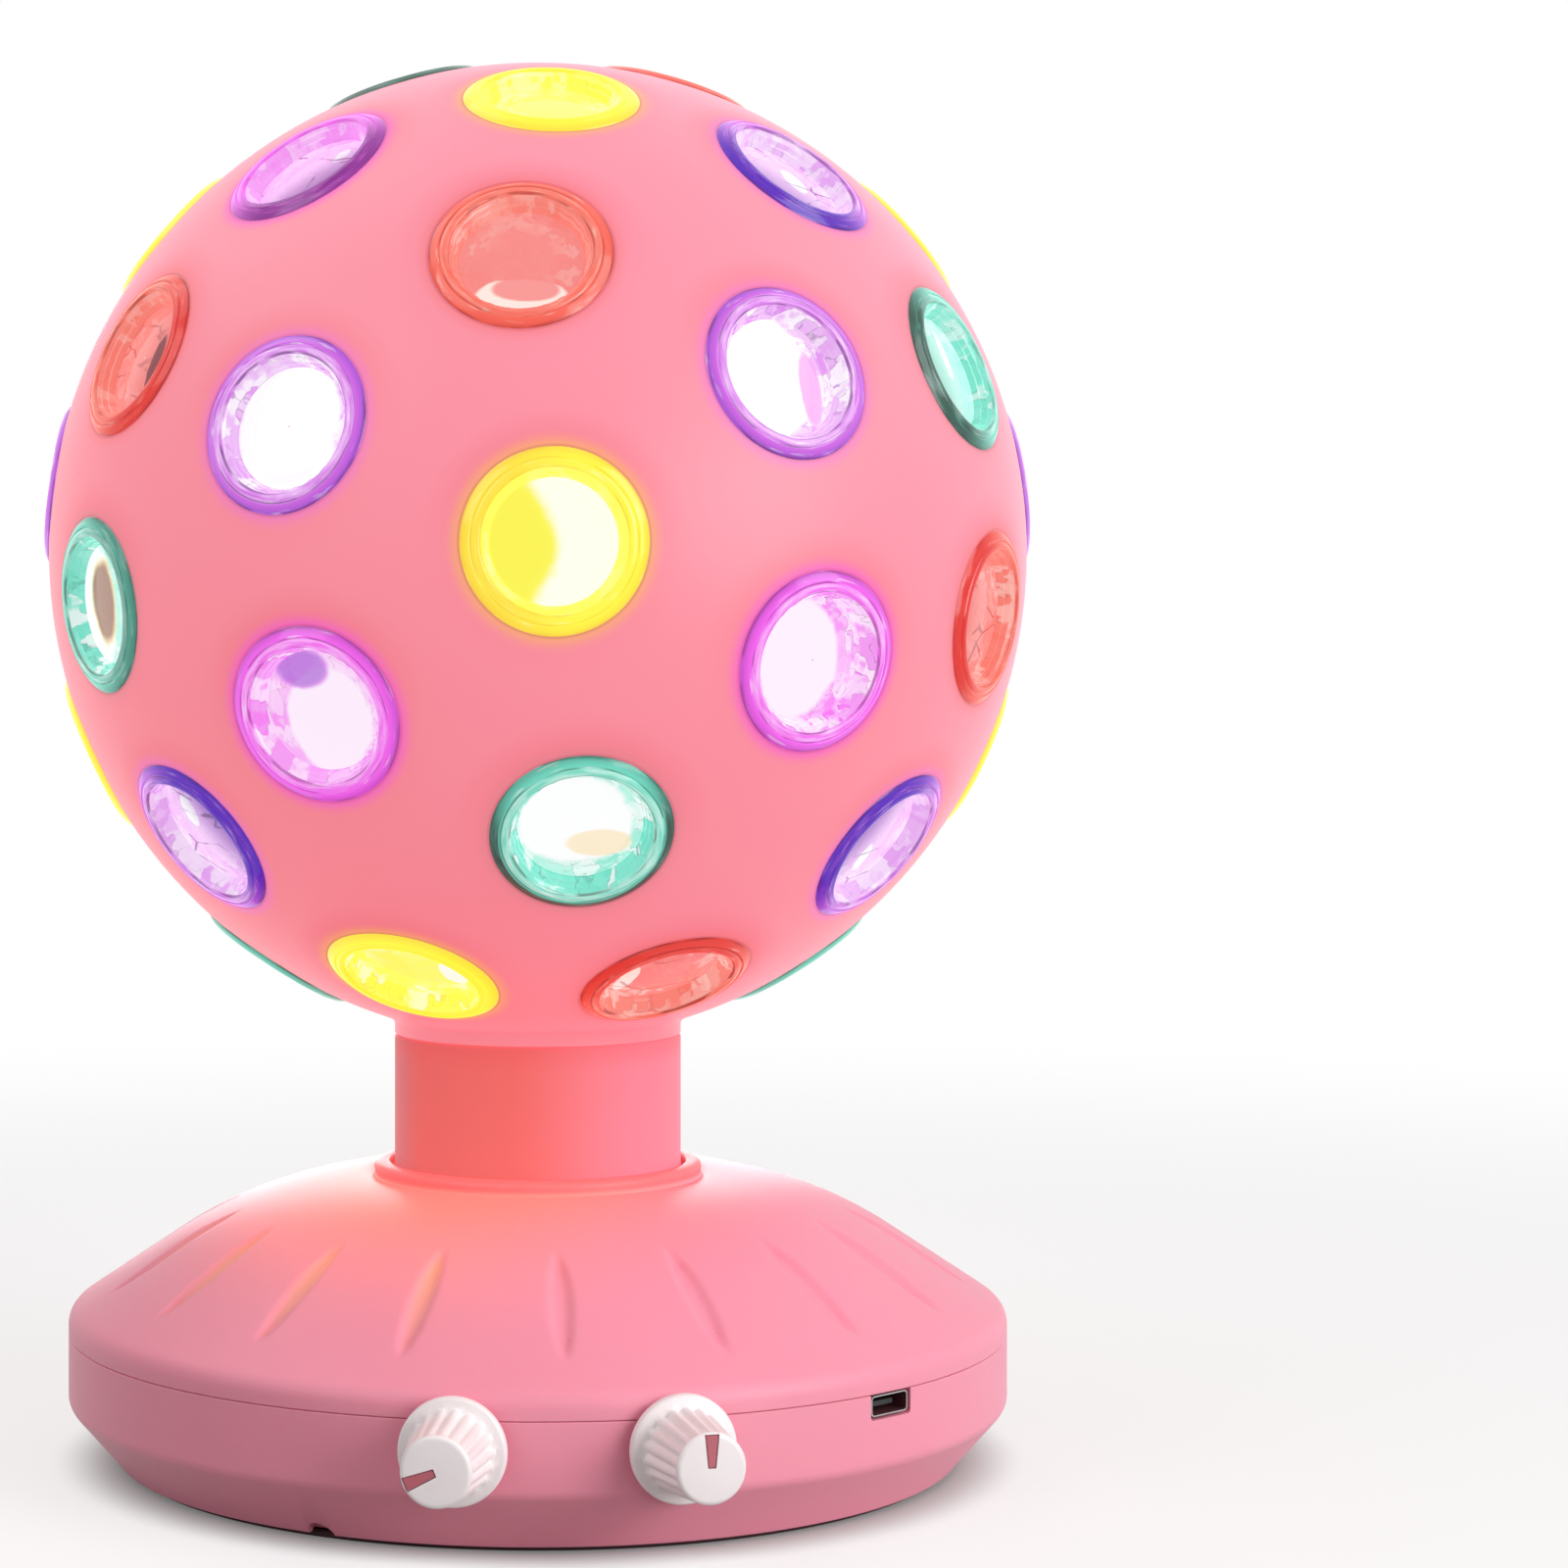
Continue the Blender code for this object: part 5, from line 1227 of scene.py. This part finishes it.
def front_frame(angle, height=0.0):
    """Frame on the base's axis: Z runs outwards at an angle from the front, Y is up."""
    turn = Matrix.Rotation(angle, 4, "Z") @ Matrix.Rotation(QUARTER_TURN, 4, "X")
    return Matrix.Translation((0, 0, height)) @ turn


def add_screw_holes(shape, high):
    """Cutters for the holes round the case screws, up to a height."""
    for node in SCREW_NODES:
        spot = sum(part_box(node), Vector()) / 2
        place = Matrix.Translation((spot.x, spot.y, 0))
        add_turned(shape, disc(SCREW_HOLE_RADIUS, -BASE_WALL, high), HOLE_SEGMENTS, place)


def make_bottom_shell():
    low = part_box("base_bottom_shell")[0].z
    floor_radius = BASE_RADIUS - BEVEL_WIDTH
    floor = low + BASE_WALL
    band = low + BEVEL_HEIGHT
    seam = SEAM_HEIGHT - SEAM_GAP / 2
    inner = BASE_RADIUS - BASE_WALL
    skirt = low - SKIRT_DROP
    profile = [(0, low), (floor_radius - SKIRT_WIDTH, low), (floor_radius - SKIRT_WIDTH, skirt)]
    profile += bend(
        (floor_radius - 0.5 * MM, skirt), (floor_radius - 0.1 * MM, skirt),
        (floor_radius, skirt + 0.4 * MM), 4,
    )
    profile += bend(
        (BASE_RADIUS - 0.7 * MM, band - 0.8 * MM), (BASE_RADIUS, band), (BASE_RADIUS, band + 0.9 * MM), 6
    )
    profile += [
        (BASE_RADIUS, seam - SEAM_CHAMFER), (BASE_RADIUS - SEAM_CHAMFER, seam), (inner, seam),
        (inner, band + BASE_WALL / 2), (floor_radius - BASE_WALL / 2, floor), (0, floor),
    ]
    cuts = bmesh.new()
    for side in (-1, 1):
        knob_frame = front_frame(side * KNOB_HALF_ANGLE, KNOB_RISE)
        hole = disc(KNOB_HOLE_RADIUS, inner * CUT_START_SHARE, CUT_END)
        add_turned(cuts, hole, KNOB_HOLE_SEGMENTS, knob_frame)
    mouth_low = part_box("usb_socket")[0].z
    tall = seam - mouth_low + MOUTH_EXTRA_HEIGHT
    middle = mouth_low - MOUTH_GAP + tall / 2
    outline = rounded_rectangle(SOCKET_WIDTH + 2 * MOUTH_GAP, tall, MOUTH_CORNER)
    outline = [(x, y + middle) for x, y in outline]
    add_prism(cuts, outline, inner * MOUTH_START_SHARE, CUT_END, front_frame(SOCKET_ANGLE))
    notch = disc(NOTCH_RADIUS, floor_radius - BASE_WALL, CUT_END)
    notch_height = low - NOTCH_RADIUS * NOTCH_DROP_SHARE
    add_turned(cuts, notch, HOLE_SEGMENTS, front_frame(NOTCH_ANGLE, notch_height))
    add_screw_holes(cuts, BASE_WALL * 3)
    mesh = carved(turned_mesh(profile, PAN_SEGMENTS), cuts)
    finish_piece("base_bottom_shell_skin", mesh, ["base"], "root", ["base_bottom_shell"])


def make_foot_pad():
    low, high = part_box("foot_pad")
    side = [
        (FOOT_RADIUS - PAD_EDGE, low.z), (FOOT_RADIUS, low.z + PAD_EDGE),
        (FOOT_RADIUS, high.z - PAD_EDGE), (FOOT_RADIUS - PAD_EDGE, high.z),
    ]
    holes = bmesh.new()
    add_screw_holes(holes, BASE_WALL)
    mesh = carved(turned_mesh([(0, low.z), *side, (0, high.z)], PAD_SEGMENTS), holes)
    finish_piece("foot_pad_skin", mesh, ["rubber"], "root", ["foot_pad"])


# Controls


def knob_profile():
    """Bore, skirt, ribbed grip and rounded cap, along the knob's own axis."""
    skirt = KNOB_SKIRT_THICKNESS
    points = [(0, KNOB_BORE_DEPTH), (KNOB_BORE_RADIUS, KNOB_BORE_DEPTH), (KNOB_BORE_RADIUS, 0)]
    points += [(KNOB_SKIRT_RADIUS - 0.3 * MM, 0), (KNOB_SKIRT_RADIUS, 0.3 * MM)]
    points += bend(
        (KNOB_SKIRT_RADIUS, skirt - KNOB_SKIRT_ROUND), (KNOB_SKIRT_RADIUS, skirt),
        (KNOB_SKIRT_RADIUS - KNOB_SKIRT_ROUND, skirt), 4,
    )
    points.append((KNOB_FOOT_RADIUS + 0.25 * MM, skirt + 0.05 * MM))
    first = len(points)
    foot = (KNOB_FOOT_RADIUS, skirt + 0.3 * MM)
    cap = (KNOB_CAP_RADIUS, KNOB_LENGTH - 0.9 * MM)
    points += [lerp(foot, cap, i / KNOB_ROWS) for i in range(KNOB_ROWS + 1)]
    rib_rows = range(first, len(points))
    points += bend(
        (KNOB_CAP_RADIUS - 0.02 * MM, KNOB_LENGTH - 0.7 * MM), (KNOB_CAP_RADIUS - 0.05 * MM, KNOB_LENGTH),
        (KNOB_CAP_RADIUS - 0.8 * MM, KNOB_LENGTH), 5,
    )
    points.append((0, KNOB_LENGTH))
    return points, rib_rows


def pointer_outline(margin):
    inner = POINTER_START - margin
    outer = POINTER_END + margin
    narrow = POINTER_NARROW + margin
    wide = POINTER_WIDE + margin
    return ((-narrow, inner), (narrow, inner), (wide, outer), (-wide, outer))


def make_knob(side_name, side, clock):
    profile, rib_rows = knob_profile()
    matrix = front_frame(side * KNOB_HALF_ANGLE, KNOB_RISE) @ Matrix.Translation((0, 0, KNOB_START))
    matrix = matrix @ Matrix.Rotation(-clock, 4, "Z")
    mesh = turned_copies(
        profile, KNOB_SEGMENTS, [((0, 0, 0), (0, 0, 1))], [FINISHES["knob"]], ribs=KNOB_RIBS,
        rib_depth=KNOB_RIB_DEPTH, rib_rows=rib_rows, sharpness=KNOB_RIB_SHARPNESS,
    )
    seat = bmesh.new()
    add_prism(seat, pointer_outline(POINTER_GAP), POINTER_SEAT, KNOB_LENGTH + 1.0 * MM)
    mesh = carved(mesh, seat)
    mesh.transform(matrix)
    body = f"{side_name}_control"
    finish_piece(f"{side_name}_knob_skin", mesh, ["knob"], body, [f"{side_name}_knob"])
    bar = bmesh.new()
    add_prism(bar, pointer_outline(0.0), POINTER_LOW, POINTER_HIGH, matrix)
    bmesh.ops.bevel(bar, geom=bar.edges[:], offset=POINTER_BEVEL, segments=2, affect="EDGES")
    nodes = [f"{side_name}_knob_pointer"]
    finish_piece(f"{side_name}_pointer_skin", mesh_of(bar), ["pointer"], body, nodes)


def make_socket():
    """Socket shell with rounded corners, dark inside as painted shade."""
    low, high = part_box("usb_socket")
    socket_frame = front_frame(SOCKET_ANGLE, (low.z + high.z) / 2)
    mouth = BASE_RADIUS - SOCKET_RECESS
    back = mouth - SOCKET_DEPTH
    inner_width = SOCKET_WIDTH - 2 * SOCKET_WALL
    inner_height = SOCKET_HEIGHT - 2 * SOCKET_WALL
    shell = bmesh.new()
    outline = rounded_rectangle(SOCKET_WIDTH, SOCKET_HEIGHT, SOCKET_CORNER)
    add_prism(shell, outline, back, mouth, socket_frame)
    hollow = bmesh.new()
    outline = rounded_rectangle(inner_width, inner_height, SOCKET_INNER_CORNER)
    add_prism(hollow, outline, back + SOCKET_BACK, mouth + MM, socket_frame)
    mesh = carved(mesh_of(shell), hollow)
    finish_piece("usb_socket_skin", mesh, ["steel", "recess"], "root", ["usb_socket"])
    inwards = socket_frame.inverted()
    for face in mesh.polygons:
        place = inwards @ face.center
        offs = (
            abs(place.x) - inner_width / 2, abs(place.y) - inner_height / 2,
            place.z - mouth + 2 * SOCKET_INSIDE,
        )
        if max(offs) < SOCKET_INSIDE:
            face.material_index = 1


# Finishes that stay on the frame's own hidden solids
CARRIED = {
    "nylon": ("drive_gear", "motor_pinion", "chassis_plate", "thrust_washer"),
    "steel": ("motor_shaft", "gear_motor", *SCREW_NODES),
    "aluminium": ("lamp_post", "heat_sink", "left_pot_shaft", "right_pot_shaft"),
    "board": ("led_board", "control_board"),
    "black": ("usb_contact_tongue", "left_potentiometer", "right_potentiometer"),
    "diffuser": ("led_diffuser",),
}


def dress_frame():
    for finish, nodes in CARRIED.items():
        for node in nodes:
            materials = frame["nodes"][node].data.materials
            materials.clear()
            materials.append(FINISHES[finish])


# Stage, light and camera


def make_stage():
    shape = bmesh.new()
    bmesh.ops.create_grid(shape, x_segments=1, y_segments=1, size=FLOOR_REACH)
    floor = loose_object("floor", mesh_of(shape))
    floor.data.name = "floor"
    floor.data.materials.append(stage_material())


def make_light():
    world = bpy.data.worlds.new("studio")
    bpy.context.scene.world = world
    world.use_nodes = True
    tree = Tree(world.node_tree)
    background = world.node_tree.nodes["Background"]
    seen = tree.seen()
    tree.feed(background.inputs["Color"], tree.mix(seen, WORLD_TINT, WHITE))
    tree.feed(background.inputs["Strength"], seen.step(0.0, 1.0, WORLD_STRENGTH, 1.0))
    for name, spot, width, power in LAMPS:
        light = bpy.data.lights.new(name, "AREA")
        light.size = width
        light.energy = power
        lamp = loose_object(name, light)
        lamp.location = spot
        lamp.rotation_euler = (Vector(LAMP_AIM) - Vector(spot)).to_track_quat("-Z", "Y").to_euler()


def make_camera():
    data = bpy.data.cameras.new("camera")
    data.sensor_width = SENSOR_WIDTH
    data.lens = FOCAL_PIXELS / IMAGE_PIXELS * SENSOR_WIDTH
    data.shift_x = (IMAGE_PIXELS / 2 - AXIS_PIXEL) / IMAGE_PIXELS
    data.shift_y = (HORIZON_PIXEL - IMAGE_PIXELS / 2) / IMAGE_PIXELS
    camera = loose_object("camera", data)
    camera.location = (
        CAMERA_DISTANCE * math.sin(CAMERA_TURN), -CAMERA_DISTANCE * math.cos(CAMERA_TURN), CAMERA_HEIGHT,
    )
    camera.rotation_euler = (QUARTER_TURN, 0.0, CAMERA_TURN)
    bpy.context.scene.camera = camera


# Places taken from the frame
SEAM_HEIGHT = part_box("base_bottom_shell")[0].z + BEVEL_HEIGHT + LOWER_BAND_HEIGHT
LIP_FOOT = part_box("base_top_shell")[1].z - LIP_HEIGHT
FOOT_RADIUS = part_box("foot_pad")[1].x
centre_middle = sum(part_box("lens_front_centre"), Vector()) / 2
BALL_CENTRE = Vector((0, 0, centre_middle.z))
POLE = Vector((centre_middle.x, centre_middle.y, 0)).normalized()
BALL_FRAME = Matrix.Translation(BALL_CENTRE) @ Matrix.Rotation(math.atan2(POLE.x, -POLE.y), 4, "Z")

FINISHES = {
    "ball": ball_material(),
    "neck": neck_material(),
    "base": base_material(),
    "knob": knob_material(),
    "pointer": pointer_material(),
    "rubber": grained_material("dark_rubber", (40, 16, 22), (62, 28, 34), 0.8, scale=900.0),
    "nylon": grained_material("natural_nylon", (222, 214, 196), (236, 230, 214), 0.5),
    "steel": grained_material("nickel_plate", (168, 168, 170), (196, 196, 198), 0.3, 1.0, 1500.0, 0.03),
    "aluminium": grained_material("plain_aluminium", (196, 197, 200), (216, 217, 220), 0.36, 1.0, 1800.0),
    "recess": grained_material("shaded_recess", (58, 14, 24), (78, 22, 34), 0.7),
    "board": board_material(),
    "black": grained_material("black_moulding", (22, 22, 24), (38, 38, 40), 0.5),
    "diffuser": diffuser_material(),
}
LENS_FINISHES = {slot: [face_material(slot), cup_material(slot), rim_material(slot)] for slot in LENS_TINTS}
TURNING = turning_tree()

bpy.context.scene.view_settings.view_transform = "Standard"
make_camera()
make_light()
make_stage()
dress_frame()
make_ball()
make_neck()
make_top_shell()
make_bottom_shell()
make_foot_pad()
make_knob("left", -1, LEFT_POINTER_CLOCK)
make_knob("right", 1, RIGHT_POINTER_CLOCK)
make_socket()
